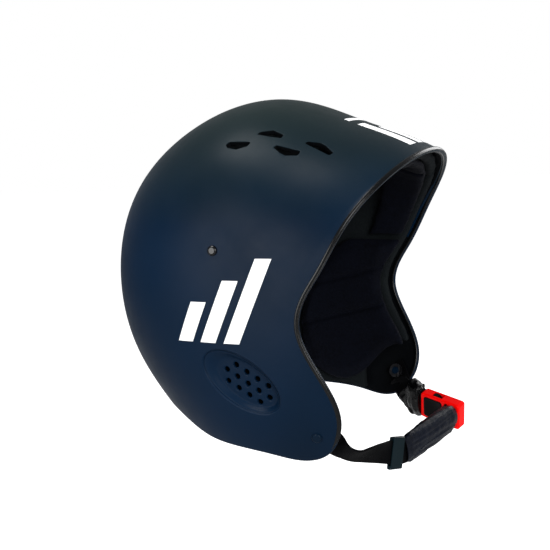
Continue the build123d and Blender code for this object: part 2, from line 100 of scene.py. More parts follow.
EAR_CENTRE = (101.9, 2.4, -63.9)
EAR_SLOPE = radians(-31.0)
EAR_LENGTH = 28.8
EAR_HEIGHT = 15.8
EAR_DEPTH = 4.2
HOLE_RADIUS = 1.9
HOLE_PITCH = 8.4
HOLE_ROW_PITCH = 6.7
HOLE_ROWS = (4, 5, 4)
HOLE_SHIFT = 4.0

WEB_WIDTH = 16.0
WEB_THICKNESS = 1.6
LOWER_RIVET = (91.7, 49.5, -98.6)
LOWER_RIVET_OUT = (0.932, 0.176, -0.316)
SWING_FORWARD = 57.0
SWING_UP = -108.0
STRAP_TIP_X = 76.2


def ahead(x, forward, up):
    """A point or direction from its parts to the left, forward and up."""
    return np.array((x, -forward, up), float)


def unit(v):
    return v / np.linalg.norm(v, axis=-1, keepdims=True)


# ---------------------------------------------------------------- the helmet's surface
STEP = 2 * pi / len(SILHOUETTE)


def silhouette_bends():
    """Second derivatives of the closed cubic spline through the silhouette radii."""
    r = np.array(SILHOUETTE)
    around = np.eye(len(r))
    system = 4 * around + np.roll(around, 1, 1) + np.roll(around, -1, 1)
    return np.linalg.solve(system, 6 / STEP ** 2 * (np.roll(r, -1) - 2 * r + np.roll(r, 1)))


BENDS = silhouette_bends()


def reach(angle):
    """Distance of the silhouette from the origin at an angle above straight ahead."""
    r = np.array(SILHOUETTE)
    turn = np.mod(angle, 2 * pi) / STEP
    i = np.floor(turn).astype(int) % len(r)
    j = (i + 1) % len(r)
    t = turn - np.floor(turn)
    bend = ((1 - t) ** 3 - (1 - t)) * BENDS[i] + (t ** 3 - t) * BENDS[j]
    return (1 - t) * r[i] + t * r[j] + bend * STEP ** 2 / 6


def level(p):
    """1 on the shell's outer face, less inside. p is an array of CAD points in millimetres."""
    forward, up = -p[..., 1], p[..., 2]
    rho = np.hypot(forward, up)
    return (p[..., 0] / HALF_WIDTH) ** 2 + (rho / reach(np.arctan2(up, forward))) ** FULLNESS


def outward(p):
    """Unit normal of the surface family at p."""
    h = 0.05
    slopes = []
    for axis in np.eye(3):
        slopes.append(level(p + axis * h) - level(p - axis * h))
    return unit(np.stack(slopes, -1))


def drop_on(p, direction):
    """The points where lines from p along -direction or +direction meet the outer face."""
    low = np.full(p.shape[:-1], -12.0)
    high = np.full(p.shape[:-1], 12.0)
    for _ in range(40):
        middle = (low + high) / 2
        inside = level(p + direction * middle[..., None]) < 1
        low = np.where(inside, middle, low)
        high = np.where(inside, high, middle)
    return p + direction * ((low + high) / 2)[..., None]


def smooth(t):
    t = np.clip(t, 0, 1)
    return t * t * (3 - 2 * t)


def run_lengths(points):
    """Distance along a line at each of its points."""
    return np.concatenate(([0], np.cumsum(np.linalg.norm(np.diff(points, axis=0), axis=1))))


def spline_through(points, count):
    """A natural cubic spline through points, sampled evenly along its chord length."""
    p = np.array(points, float)
    chord = run_lengths(p)
    h = np.diff(chord)
    n = len(p)
    system = np.eye(n)
    right = np.zeros_like(p)
    for i in range(1, n - 1):
        system[i, i - 1:i + 2] = h[i - 1], 2 * (h[i - 1] + h[i]), h[i]
        right[i] = 6 * ((p[i + 1] - p[i]) / h[i] - (p[i] - p[i - 1]) / h[i - 1])
    bends = np.linalg.solve(system, right)
    at = np.linspace(0, chord[-1], count)
    i = np.clip(np.searchsorted(chord, at, "right") - 1, 0, n - 2)
    t = ((at - chord[i]) / h[i])[:, None]
    step = h[i][:, None]
    bend = ((1 - t) ** 3 - (1 - t)) * bends[i] + (t ** 3 - t) * bends[i + 1]
    return (1 - t) * p[i] + t * p[i + 1] + bend * step ** 2 / 6


def even(points, count):
    """The same line with its points spaced evenly."""
    p = np.array(points, float)
    along = run_lengths(p)
    at = np.linspace(0, along[-1], count)
    return np.stack([np.interp(at, along, p[:, k]) for k in range(p.shape[1])], -1)


def rim_half(setback):
    """The rim on the left half, from the middle of the brow round the face to the nape."""
    line = spline_through((BROW_EDGE, *FACE_EDGE, *BOTTOM_EDGE), 900)
    run = unit(np.gradient(line, axis=0))
    line = line + np.stack((run[:, 1], -run[:, 0]), -1) * setback
    start = line[0] - run[0] * 12 * np.linspace(1, 0.02, 40)[:, None]
    end = line[-1] + run[-1] * 12 * np.linspace(0.02, 1, 40)[:, None]
    line = np.vstack((start, line, end))
    share = np.hypot(*line.T) / reach(np.arctan2(line[:, 1], line[:, 0]))
    inside = np.flatnonzero(share < 1)
    first, last = inside[0], inside[-1]

    def crossing(a, b):
        t = (1 - share[a]) / (share[b] - share[a])
        return line[a] + (line[b] - line[a]) * t

    kept = np.vstack((crossing(first - 1, first), line[first:last + 1], crossing(last, last + 1)))
    share = np.hypot(*kept.T) / reach(np.arctan2(kept[:, 1], kept[:, 0]))
    x = HALF_WIDTH * np.sqrt(np.clip(1 - share ** FULLNESS, 0, None))
    x[0] = x[-1] = 0
    return np.stack((x, -kept[:, 0], kept[:, 1]), -1)


def angle_of(p):
    return np.arctan2(p[..., 2], -p[..., 1])


# ---------------------------------------------------------------- mesh helpers
def new_object(name, vertices, faces, smooth_faces=True):
    """A mesh object from millimetre points."""
    mesh = bpy.data.meshes.new(name)
    points = (np.asarray(vertices, float) * MM).tolist()
    mesh.from_pydata(points, [], [list(map(int, face)) for face in faces])
    made = bpy.data.objects.new(name, mesh)
    bpy.context.scene.collection.objects.link(made)
    if smooth_faces:
        mesh.shade_smooth()
    return made


def grid_faces(rows, columns, close_columns=False, close_rows=False, start=0, flip=False):
    """Quads of a grid whose vertices run column by column inside each row."""
    faces = []
    for i in range(rows if close_rows else rows - 1):
        for j in range(columns if close_columns else columns - 1):
            a = start + i * columns + j
            b = start + i * columns + (j + 1) % columns
            c = start + ((i + 1) % rows) * columns + (j + 1) % columns
            d = start + ((i + 1) % rows) * columns + j
            faces.append((a, d, c, b) if flip else (a, b, c, d))
    return faces


def capped_faces(rows, columns):
    """The faces of a closed tube through loops of points, with an end face on each end."""
    last = (rows - 1) * columns
    return grid_faces(rows, columns, close_columns=True) + [
        tuple(range(columns))[::-1], tuple(last + j for j in range(columns))]


def clean(made, distance=0.004):
    """Welds close vertices and turns the faces outwards."""
    work = bmesh.new()
    work.from_mesh(made.data)
    bmesh.ops.remove_doubles(work, verts=work.verts, dist=distance * MM)
    bmesh.ops.dissolve_degenerate(work, edges=work.edges, dist=distance * MM * 0.5)
    bmesh.ops.recalc_face_normals(work, faces=work.faces)
    work.to_mesh(made.data)
    work.free()
    made.data.update()
    return made


def loops_solid(loops, name):
    """A closed solid through a stack of loops with the same number of points."""
    rings = np.array(loops)
    faces = capped_faces(*rings.shape[:2])
    return clean(new_object(name, rings.reshape(-1, 3), faces, smooth_faces=False))


def bake_modifiers(made):
    """Turns the object's modifiers into plain mesh."""
    bpy.context.view_layer.update()
    graph = bpy.context.evaluated_depsgraph_get()
    mesh = bpy.data.meshes.new_from_object(made.evaluated_get(graph))
    old = made.data
    made.modifiers.clear()
    made.data = mesh
    mesh.name = made.name
    bpy.data.meshes.remove(old)
    return made


def cut(made, tools):
    """Takes the tools out of the object and removes them."""
    for tool in tools:
        step = made.modifiers.new("cut", "BOOLEAN")
        step.operation = "DIFFERENCE"
        step.solver = "EXACT"
        step.object = tool
    bake_modifiers(made)
    for tool in tools:
        bpy.data.objects.remove(tool)


def joined(objects, name):
    """One object made of several."""
    work = bmesh.new()
    for piece in objects:
        work.from_mesh(piece.data)
    mesh = bpy.data.meshes.new(name)
    work.to_mesh(mesh)
    work.free()
    for piece in objects:
        bpy.data.objects.remove(piece)
    made = bpy.data.objects.new(name, mesh)
    bpy.context.scene.collection.objects.link(made)
    return made


def subdivide(made):
    step = made.modifiers.new("smooth", "SUBSURF")
    step.levels = step.render_levels = 1
    bake_modifiers(made)


STRIP_EDGE = 0.7            # rounding of a strip's long edges
STRIP_LINES = 7             # lines of points along each face, between the edges


def swept(name, centres, across, width, thickness):
    """A strip of rounded section along a line. Its UV runs along and across, in millimetres."""
    c = np.asarray(centres, float)
    run = unit(np.gradient(c, axis=0))
    side = np.asarray(across, float)
    side = unit(side - run * np.sum(side * run, 1, keepdims=True))
    up = np.cross(run, side)
    along = run_lengths(c)
    w, h = width / 2, thickness / 2
    r = min(STRIP_EDGE, h * 0.98)
    corners = []
    for quarter, (sx, sy) in enumerate(((1, 1), (-1, 1), (-1, -1), (1, -1))):
        for k in range(4):
            a = (quarter + k / 3) * pi / 2
            corners.append((sx * (w - r) + cos(a) * r, sy * (h - r) + sin(a) * r))
    top = [(t * (w - r), h) for t in np.linspace(1, -1, STRIP_LINES + 2)[1:-1]]
    bottom = [(-a, -b) for a, b in top]
    section = corners[:4] + top + corners[4:12] + bottom + corners[12:]
    points, uvs = [], []
    for i, at in enumerate(along):
        for a, b in section:
            points.append(c[i] + side[i] * a + up[i] * b)
            uvs.append((at, a))
    m = len(section)
    made = new_object(name, points, capped_faces(len(c), m))
    layer = made.data.uv_layers.new(name="strip")
    for loop in made.data.loops:
        layer.data[loop.index].uv = uvs[loop.vertex_index]
    work = bmesh.new()
    work.from_mesh(made.data)
    bmesh.ops.recalc_face_normals(work, faces=work.faces)
    work.to_mesh(made.data)
    work.free()
    return made


THREAD_SIDES = 6


def tube(name, centres, radius):
    """A round thread along a line."""
    c = np.asarray(centres, float)
    run = unit(np.gradient(c, axis=0))
    side = unit(np.cross(run, (0.31, 0.52, 0.80)))
    up = np.cross(run, side)
    turn = np.linspace(0, 2 * pi, THREAD_SIDES, endpoint=False)
    points = (c[:, None] + radius * (np.cos(turn)[None, :, None] * side[:, None]
                                     + np.sin(turn)[None, :, None] * up[:, None]))
    faces = capped_faces(len(c), THREAD_SIDES)
    return clean(new_object(name, points.reshape(-1, 3), faces), distance=0.0005)


# ---------------------------------------------------------------- materials
MATT = 0.07                 # specular level of the matt plastics and fabrics
CLOTH_SHEEN = 0.006
COLOUR_DRIFT = 9.0          # noise scale of the slow colour changes in moulded plastic


class Paint:
    """A node material that is built up step by step."""

    def __init__(self, name, colour, roughness, metallic=0.0):
        self.material = bpy.data.materials.new(name)
        self.material.use_nodes = True
        self.tree = self.material.node_tree
        self.shader = self.tree.nodes["Principled BSDF"]
        self.shader.inputs["Base Color"].default_value = (*colour, 1)
        self.shader.inputs["Roughness"].default_value = roughness
        self.shader.inputs["Metallic"].default_value = metallic
        self.shader.inputs["Specular IOR Level"].default_value = 0.5 if metallic else MATT

    def node(self, kind, **settings):
        made = self.tree.nodes.new(kind)
        for key, value in settings.items():
            if hasattr(made, key):
                setattr(made, key, value)
            else:
                made.inputs[key.replace("_", " ").title()].default_value = value
        return made

    def link(self, source, target):
        self.tree.links.new(source, target)

    def place(self, uv=False, scale=(1, 1, 1)):
        """Object coordinates in metres, or the strip's own, times a scale."""
        if uv:
            source = self.node("ShaderNodeUVMap", uv_map="strip").outputs["UV"]
        else:
            source = self.node("ShaderNodeTexCoord").outputs["Object"]
        mapping = self.node("ShaderNodeMapping")
        mapping.inputs["Scale"].default_value = scale
        self.link(source, mapping.inputs["Vector"])
        return mapping.outputs["Vector"]

    def noise(self, scale, detail=3.0, vector=None, roughness=0.5):
        made = self.node("ShaderNodeTexNoise")
        made.inputs["Scale"].default_value = scale
        made.inputs["Detail"].default_value = detail
        made.inputs["Roughness"].default_value = roughness
        if vector is None:
            vector = self.place()
        self.link(vector, made.inputs["Vector"])
        return made.outputs["Fac"]

    def ramp(self, value, stops):
        made = self.node("ShaderNodeValToRGB")
        elements = made.color_ramp.elements
        while len(elements) < len(stops):
            elements.new(0.5)
        for element, (at, colour) in zip(elements, stops):
            element.position = at
            element.color = (*colour, 1) if len(colour) == 3 else colour
        self.link(value, made.inputs["Fac"])
        return made.outputs["Color"]

    def span(self, value, low, high, from_low=0.3, from_high=0.7):
        made = self.node("ShaderNodeMapRange")
        for key, number in (("From Min", from_low), ("From Max", from_high),
                            ("To Min", low), ("To Max", high)):
            made.inputs[key].default_value = number
        self.link(value, made.inputs["Value"])
        return made.outputs["Result"]

    def math(self, operation, a, b=None):
        made = self.node("ShaderNodeMath", operation=operation)
        for socket, value in zip(made.inputs, (a, b)):
            if value is None:
                continue
            if isinstance(value, (int, float)):
                socket.default_value = value
            else:
                self.link(value, socket)
        return made.outputs[0]

    def bump(self, height, strength, distance, below=None):
        made = self.node("ShaderNodeBump")
        made.inputs["Strength"].default_value = strength
        made.inputs["Distance"].default_value = distance
        self.link(height, made.inputs["Height"])
        if below is not None:
            self.link(below, made.inputs["Normal"])
        self.link(made.outputs["Normal"], self.shader.inputs["Normal"])
        return made.outputs["Normal"]

    def colour(self, source):
        self.link(source, self.shader.inputs["Base Color"])

    def rough(self, source):
        self.link(source, self.shader.inputs["Roughness"])

    def set(self, **values):
        """Puts plain values on the shader's own sockets, as in sheen_weight for Sheen Weight."""
        for key, value in values.items():
            socket = key.replace("_", " ").title().replace("Ior", "IOR")
            self.shader.inputs[socket].default_value = value
        return self


def moulded_paint(name, dark, light, roughness, grain=0.25, scale=1900.0):
    """Satin moulded plastic: fine orange peel, slow colour drift and faint handling marks."""
    paint = Paint(name, dark, roughness)
    drift = paint.noise(COLOUR_DRIFT, 2.0)
    paint.colour(paint.ramp(drift, ((0.35, dark), (0.68, light))))
    wear = paint.noise(55.0, 5.0, roughness=0.7)
    paint.rough(paint.span(wear, roughness - 0.05, roughness + 0.06))
    fine = paint.noise(scale, 2.0)
    first = paint.bump(fine, grain, 0.00006)
    paint.bump(paint.noise(260.0, 2.0), grain * 0.5, 0.00012, below=first)
    return paint


def shell_and_crown_light_paint():
    """Dark navy shell, bluer on the flanks, with painted light: lighter and greener towards the crown,
    where the key light falls.
    """
    paint = moulded_paint("shell_and_crown_light_paint", (0.0008, 0.0060, 0.0170), (0.0014, 0.0090, 0.0240), 0.40)
    place = paint.node("ShaderNodeSeparateXYZ")
    paint.link(paint.place(), place.inputs[0])
    # Painted light grows with height, from 35 mm to 110 mm up.
    height = paint.span(place.outputs["Z"], 0, 1, 0.035, 0.110)
    drift = paint.noise(COLOUR_DRIFT, 2.0)
    flank = paint.ramp(drift, ((0.36, (0.0007, 0.0062, 0.0165)), (0.66, (0.0014, 0.0092, 0.0250))))
    # Painted light: a lighter, greener copy of the shell colour for the lit crown.
    crown = paint.ramp(drift, ((0.36, (0.0060, 0.0125, 0.0125)), (0.66, (0.0090, 0.0165, 0.0165))))
    mix = paint.node("ShaderNodeMix", data_type="RGBA")
    paint.link(height, mix.inputs["Factor"])
    paint.link(flank, mix.inputs["A"])
    paint.link(crown, mix.inputs["B"])
    paint.link(mix.outputs["Result"], paint.shader.inputs["Base Color"])
    return paint.material


def webbing_paint(name, dark, light):
    """Woven strap: diagonal twill ribs with a tight selvedge along both edges."""
    paint = Paint(name, dark, 0.62)
    place = paint.node("ShaderNodeSeparateXYZ")
    paint.link(paint.place(uv=True), place.inputs[0])
    u, v = place.outputs["X"], place.outputs["Y"]
    lean = paint.math("ADD", u, paint.math("MULTIPLY", paint.math("ABSOLUTE", v), 0.9))
    ribs = paint.math("SINE", paint.math("MULTIPLY", lean, 2 * pi / 1.15))
    yarns = paint.math("SINE", paint.math("MULTIPLY", v, 2 * pi / 0.62))
    weave = paint.math("MULTIPLY", paint.math("ADD", ribs, 1.0), paint.math("ADD", yarns, 1.4))
    height = paint.span(weave, 0, 1, 0.0, 4.8)
    fuzz = paint.noise(900.0, 4.0)
    tone = paint.math("MULTIPLY", height, paint.span(fuzz, 0.6, 1.2))
    paint.colour(paint.ramp(tone, ((0.05, dark), (0.85, light))))
    first = paint.bump(height, 0.85, 0.00028)
    paint.bump(fuzz, 0.25, 0.00008, below=first)
    paint.set(sheen_weight=CLOTH_SHEEN, sheen_roughness=0.45, specular_ior_level=0.04)
    return paint.material


def cloth_paint(name, dark, light, scale=1500.0, roughness=0.85, specular=MATT):
    """Brushed knit: small loops in crossing rows, with slow shading and soft nap."""
    paint = Paint(name, dark, roughness)
    where = paint.place()
    cells = paint.node("ShaderNodeTexVoronoi")
    cells.inputs["Scale"].default_value = scale
    paint.link(where, cells.inputs["Vector"])
    nap = paint.noise(420.0, 5.0)
    slow = paint.noise(38.0, 3.0)
    tone = paint.math("MULTIPLY", paint.span(slow, 0.75, 1.15), paint.span(nap, 0.7, 1.15))
    paint.colour(paint.ramp(tone, ((0.45, dark), (1.0, light))))
    first = paint.bump(cells.outputs["Distance"], 0.55, 0.00025)
    paint.bump(nap, 0.30, 0.00035, below=first)
    paint.set(sheen_weight=CLOTH_SHEEN, sheen_roughness=0.5, specular_ior_level=specular)
    return paint.material


def foam_paint():
    """Closed-cell foam, cut skin with small open cells."""
    paint = Paint("foam_paint", (0.012, 0.016, 0.016), 0.9)
    cells = paint.node("ShaderNodeTexVoronoi")
    cells.inputs["Scale"].default_value = 1100.0
    paint.link(paint.place(), cells.inputs["Vector"])
    slow = paint.noise(26.0, 4.0)
    tones = ((0.3, (0.0034, 0.0046, 0.0056)), (0.7, (0.0062, 0.0080, 0.0090)))
    paint.colour(paint.ramp(slow, tones))
    first = paint.bump(cells.outputs["Distance"], 0.5, 0.0004)
    paint.bump(paint.noise(160.0, 3.0), 0.35, 0.0006, below=first)
    return paint.material


def metal_paint():
    """Blackened stamped steel with turning marks."""
    paint = Paint("washer_paint", (0.10, 0.10, 0.11), 0.35, metallic=1.0)
    marks = paint.noise(700.0, 4.0, vector=paint.place(scale=(1, 1, 0.1)))
    paint.rough(paint.span(marks, 0.25, 0.45))
    paint.bump(marks, 0.2, 0.00005)
    return paint.material


def decal_paint():
    """Matt white screen print with a trace of the shell's texture."""
    paint = Paint("decal_paint", (0.86, 0.86, 0.86), 0.5)
    tone = paint.noise(45.0, 4.0)
    paint.colour(paint.ramp(tone, ((0.3, (0.80, 0.80, 0.80)), (0.7, (0.92, 0.92, 0.92)))))
    paint.bump(paint.noise(1900.0, 2.0), 0.2, 0.00005)
    return paint.material


PAINT = {
    "shell": shell_and_crown_light_paint(),
    "trim_rubber": moulded_paint("trim_paint", (0.0008, 0.0010, 0.0012), (0.0016, 0.0019, 0.0022),
                                 0.24, grain=0.08, scale=2600.0).set(specular_ior_level=0.22).material,
    "rivet_black": moulded_paint("rivet_paint", (0.0008, 0.0008, 0.0012), (0.0016, 0.0016, 0.002),
                                 0.20, grain=0.05).set(specular_ior_level=0.3).material,
    "rivet_navy": moulded_paint("rivet_navy_paint", (0.0010, 0.0060, 0.0150),
                                (0.0020, 0.0090, 0.0210), 0.34, grain=0.15).material,
    "washer_steel": metal_paint(),
    "foam": foam_paint(),
    "pad_fabric": cloth_paint("pad_paint", (0.0004, 0.0006, 0.0018), (0.0012, 0.0018, 0.0048)),
    "webbing": webbing_paint("webbing_paint", (0.0002, 0.0002, 0.0004), (0.0018, 0.0021, 0.0034)),
    "sleeve_fabric": cloth_paint("sleeve_paint", (0.0003, 0.0006, 0.0022), (0.0016, 0.0032, 0.0090),
                                 scale=1900.0, roughness=0.40, specular=0.12),
    "slider_plastic": moulded_paint("slider_paint", (0.0020, 0.0075, 0.0105),
                                    (0.0034, 0.0110, 0.0150), 0.36).material,
    # The red housing also emits a faint red glow of its own: painted light, as the buckle is no lamp.
    "buckle_red": moulded_paint("buckle_red_glow_paint", (0.80, 0.0016, 0.0014), (0.92, 0.0030, 0.0024),
                                0.34, grain=0.12).set(emission_color=(1.0, 0.004, 0.003, 1),
                                                      emission_strength=0.20).material,
    "buckle_black": moulded_paint("buckle_black_paint", (0.0010, 0.0010, 0.0013),
                                  (0.0024, 0.0024, 0.0030), 0.32, grain=0.15).material,
    "decal": decal_paint(),
    "gathered": cloth_paint("gathered_paint", (0.0002, 0.0002, 0.0003), (0.0006, 0.0007, 0.0010),
                            scale=2300.0, roughness=0.17, specular=0.17),
    # Near-black painted shade for the inside of the shell and the walls of its vents.
    "shell_inside_shade": moulded_paint("shell_inside_shade_paint", (0.0006, 0.0010, 0.0016),
                                  (0.0014, 0.0020, 0.0030), 0.55).material,
    "thread": cloth_paint("thread_paint", (0.004, 0.006, 0.011), (0.012, 0.016, 0.026),
                          scale=2600.0, roughness=0.6),
}


def painted(made, paint):
    made.data.materials.clear()
    made.data.materials.append(PAINT[paint])
    return made


def finish_piece(made, paint, body, slot, *nodes):
    """Material, body and the CAD nodes that a piece stands for. The slot argument is not used."""
    painted(made, paint)
    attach(made, body)
    if nodes:
        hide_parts(*nodes)


# ---------------------------------------------------------------- shell
RIM_RADIUS = SHELL_THICKNESS / 2
RIM_COLUMNS = 190
BACK_COLUMNS = 120
RINGS = 46


def flare(distance, angle):
    """How far the shell turns outwards, by the distance from the rim and the place on it."""
    start, span, stop = FLARE_ANGLES
    place = np.degrees(angle)
    size = FLARE * smooth((place - start) / span) * (place < stop)
    return size * np.clip(1 - distance / FLARE_REACH, 0, 1) ** 2


rim_left = even(rim_half(RIM_RADIUS), RIM_COLUMNS)
rim_left[0, 0] = rim_left[-1, 0] = 0


def meridian(angle, edge_share):
    """Points from the widest point of the shell down to its middle plane or its rim."""
    steep = 1 - 0.07 * np.linspace(1, 0, 200)[1:] ** 2.2
    shares = np.concatenate((np.linspace(0, 0.93, 120), steep)) * edge_share
    radius = reach(angle) * shares
    x = HALF_WIDTH * np.sqrt(np.clip(1 - shares ** FULLNESS, 0, None))
    line = np.stack((x, -radius * cos(angle), radius * sin(angle)), -1)
    return even(line, RINGS + 1)


def shell_columns():
    """Angle and edge share of each column: along the rim, then up the back and over the crown."""
    rim_angles = np.unwrap(angle_of(rim_left))
    shares = np.hypot(rim_left[:, 1], rim_left[:, 2]) / reach(rim_angles)
    shares[0] = shares[-1] = 1.0
    back = np.linspace(rim_angles[-1], rim_angles[0] - 2 * pi, 800)
    arc = np.stack((reach(back) * np.cos(back), reach(back) * np.sin(back), back), -1)
    length = np.concatenate(([0], np.cumsum(np.hypot(*np.diff(arc[:, :2], axis=0).T))))
    back = np.interp(np.linspace(0, length[-1], BACK_COLUMNS + 2)[1:-1], length, arc[:, 2])
    return np.concatenate((rim_angles, back)), np.concatenate((shares, np.ones(len(back))))


def shell_surfaces():
    """Outer points and normals of the left half, ring by ring."""
    angles, shares = shell_columns()
    lines = np.stack([meridian(a, s) for a, s in zip(angles, shares)], 1)
    lines[-1, :RIM_COLUMNS] = rim_left
    lines[-1, RIM_COLUMNS:, 0] = 0
    normals = outward(lines)
    normals[0] = (1, 0, 0)
    normals[-1, RIM_COLUMNS:, 0] = 0
    normals[-1, 0, 0] = normals[-1, RIM_COLUMNS - 1, 0] = 0
    normals = unit(normals)
    steps = np.linalg.norm(np.diff(lines[::-1], axis=0), axis=2)
    to_rim = np.vstack((np.zeros(lines.shape[1]), np.cumsum(steps, 0)))[::-1]
    lift = flare(to_rim, np.broadcast_to(wrapped(angles), to_rim.shape))
    lift[:, RIM_COLUMNS:] = 0
    to_brow = np.linalg.norm(lines - rim_left[0], axis=2)
    crown = flare(to_brow, np.full(lines.shape[:2], radians(BROW_ANGLE)))
    lift = np.where(to_brow < FLARE_REACH, np.maximum(lift, crown), lift)
    return lines + normals * lift[..., None], normals


def wrapped(angle):
    return np.mod(np.asarray(angle) + pi, 2 * pi) - pi


def rim_loop(points, normals):
    """The closed rim: positions, outward normals and the direction out of the shell's edge."""
    left, up = points[-1, :RIM_COLUMNS], normals[-1, :RIM_COLUMNS]
    mirror = np.array((-1, 1, 1))
    loop = np.vstack((left, (left[1:-1] * mirror)[::-1]))
    out = np.vstack((up, (up[1:-1] * mirror)[::-1]))
    run = unit(np.roll(loop, -1, 0) - np.roll(loop, 1, 0))
    tip = unit(np.cross(run, out))
    inwards = points[-2, :RIM_COLUMNS] - left
    inwards = np.vstack((inwards, (inwards[1:-1] * mirror)[::-1]))
    tip *= -np.sign(np.sum(tip * inwards, 1, keepdims=True))
    return loop, out, tip


shell_points, shell_normals = shell_surfaces()
rim, rim_out, rim_tip = rim_loop(shell_points, shell_normals)


def shell_solid():
    """Both halves of the shell, inside and out, with a rounded rim."""
    columns = shell_points.shape[1]
    inner = shell_points - shell_normals * SHELL_THICKNESS
    vertices, faces = [], []
    for side in (1, -1):
        for sheet, flip in ((shell_points, side < 0), (inner, side > 0)):
            start = sum(len(v) for v in vertices)
            vertices.append((sheet * (side, 1, 1)).reshape(-1, 3))
            faces += grid_faces(RINGS + 1, columns, close_columns=True, start=start, flip=flip)
    start = sum(len(v) for v in vertices)
    turn = np.linspace(0, pi, 7)
    centre = rim - rim_out * RIM_RADIUS
    rounded = [centre + RIM_RADIUS * (rim_out * cos(a) + rim_tip * sin(a)) for a in turn]
    vertices.append(np.vstack(rounded))
    faces += grid_faces(len(turn), len(rim), close_columns=True, start=start)
    return clean(new_object("outer_shell_body", np.vstack(vertices), faces), distance=0.02)


def rounded_outline(corners, radius, steps=5):
    """A polygon with rounded corners and the outward direction at each of its points."""
    p = np.array(corners, float)
    if np.sum(p[:, 0] * np.roll(p[:, 1], -1) - np.roll(p[:, 0], -1) * p[:, 1]) < 0:
        p = p[::-1]
    points, outs = [], []
    for i in range(len(p)):
        before, here, after = p[i - 1], p[i], p[(i + 1) % len(p)]
        a, b = unit(before - here), unit(after - here)
        if a[0] * b[1] - a[1] * b[0] > -0.05:       # nearly straight, so there is no corner
            points.append(here)
            outs.append(unit(np.array((b[1] - a[1], a[0] - b[0]))))
            continue
        half = np.arccos(np.clip(a @ b, -1, 1)) / 2
        back = min(radius / np.tan(half), 0.4 * np.linalg.norm(before - here),
                   0.4 * np.linalg.norm(after - here))
        r = back * np.tan(half)
        centre = here + unit(a + b) * r / np.sin(half)
        first = here + a * back - centre
        last = here + b * back - centre
        start = np.arctan2(first[1], first[0])
        sweep = np.mod(np.arctan2(last[1], last[0]) - start, 2 * pi)
        for t in np.linspace(start, start + sweep, steps):
            outs.append((np.cos(t), np.sin(t)))
            points.append(centre + r * np.array(outs[-1]))
    return np.array(points), np.array(outs)


def ellipse(length, height, count=96):
    turn = np.linspace(0, 2 * pi, count, endpoint=False)
    points = np.stack((length * np.cos(turn), height * np.sin(turn)), -1)
    return points, unit(np.stack((np.cos(turn) / length, np.sin(turn) / height), -1))


def on_shell(place, points, height=0.0):
    """Plane points dropped along the plane's normal on the shell, then raised off it."""
    origin, x_dir, y_dir, z_dir = place
    flat = origin + points[..., :1] * x_dir + points[..., 1:2] * y_dir
    foot = drop_on(flat, z_dir)
    return foot + outward(foot) * np.asarray(height, float)[..., None]


def plane(origin, x_dir, z_dir):
    z = unit(np.asarray(z_dir, float))
    x = np.asarray(x_dir, float)
    x = unit(x - z * (x @ z))
    return np.asarray(origin, float), x, np.cross(z, x), z


def upright(place):
    """1 where a plane's second axis points up, otherwise -1."""
    return 1 if place[2][2] > 0 else -1


# Outline growth and height over the shell: a mouth above it, the rounded edge, and a straight wall.
EDGE_ROUND = ((1.5, 4.0), (1.3, 0.5), (0.75, -0.04), (0.42, -0.12), (0.2, -0.3), (0.06, -0.56),
              (0.0, -0.9), (0.0, -7.0))
VENT_EDGE = 0.35            # of the rounding above
EAR_EDGE = 1.6
VENT_CORNER = 1.1


def hole_tool(place, outline, outs, scale):
    """A cutter whose mouth rounds the shell's edge over."""
    loops = []
    for out, height in EDGE_ROUND:
        rise = height * (scale if abs(height) < 1 else 1)
        loops.append(on_shell(place, outline + outs * out * scale, np.full(len(outline), rise)))
    return loops_solid(loops, "cutter")


def vent_places():
    for (x, forward, up), (nx, nf, nu), corners in VENTS:
        for side in (1, -1):
            place = plane(ahead(side * x, forward, up), (0, 1, 0), ahead(side * nx, nf, nu))
            turned = [(-a, upright(place) * b) for a, b in corners]
            yield place, rounded_outline(turned, VENT_CORNER)


def ear_place(side):
    x, forward, up = EAR_CENTRE
    long_axis = ahead(0, cos(EAR_SLOPE), sin(EAR_SLOPE))
    return plane(ahead(side * x, forward, up), long_axis, ahead(side * 0.993, 0, -0.113))


def shell():
    body = shell_solid()
    tools = [hole_tool(place, *outline, scale=VENT_EDGE) for place, outline in vent_places()]
    tools += [hole_tool(ear_place(side), *ellipse(EAR_LENGTH, EAR_HEIGHT), scale=EAR_EDGE)
              for side in (1, -1)]
    cut(body, [joined(tools, "cutters")])
    body.name = "shell_moulding"
    level_normals(body)
    finish_piece(body, "shell", "helmet", "shell", "outer_shell")
    # The inside of the shell and the vent walls take the near-black painted shade.
    body.data.materials.append(PAINT["shell_inside_shade"])
    for face, inner in zip(body.data.polygons, painted_shade_faces(body)):
        face.material_index = int(inner)


def painted_shade_faces(body):
    """Which faces get the near-black painted shade: the inside of the shell and the walls of its
    vents.
    """
    centres = np.array([face.center for face in body.data.polygons]) / MM
    facing = np.array([face.normal for face in body.data.polygons])
    out = outward(centres)
    inner = np.abs(level(centres + out * SHELL_THICKNESS) - 1) < 2e-3
    wall = (np.sum(facing * out, 1) < 0.55) & (level(centres + out * 0.3) < 1)
    vents = np.array([place[0] for place, _ in vent_places()])
    near = np.min(np.linalg.norm(centres[:, None] - vents[None], axis=2), axis=1) < 15
    return (inner & (np.sum(facing * out, 1) < 0)) | (wall & near)


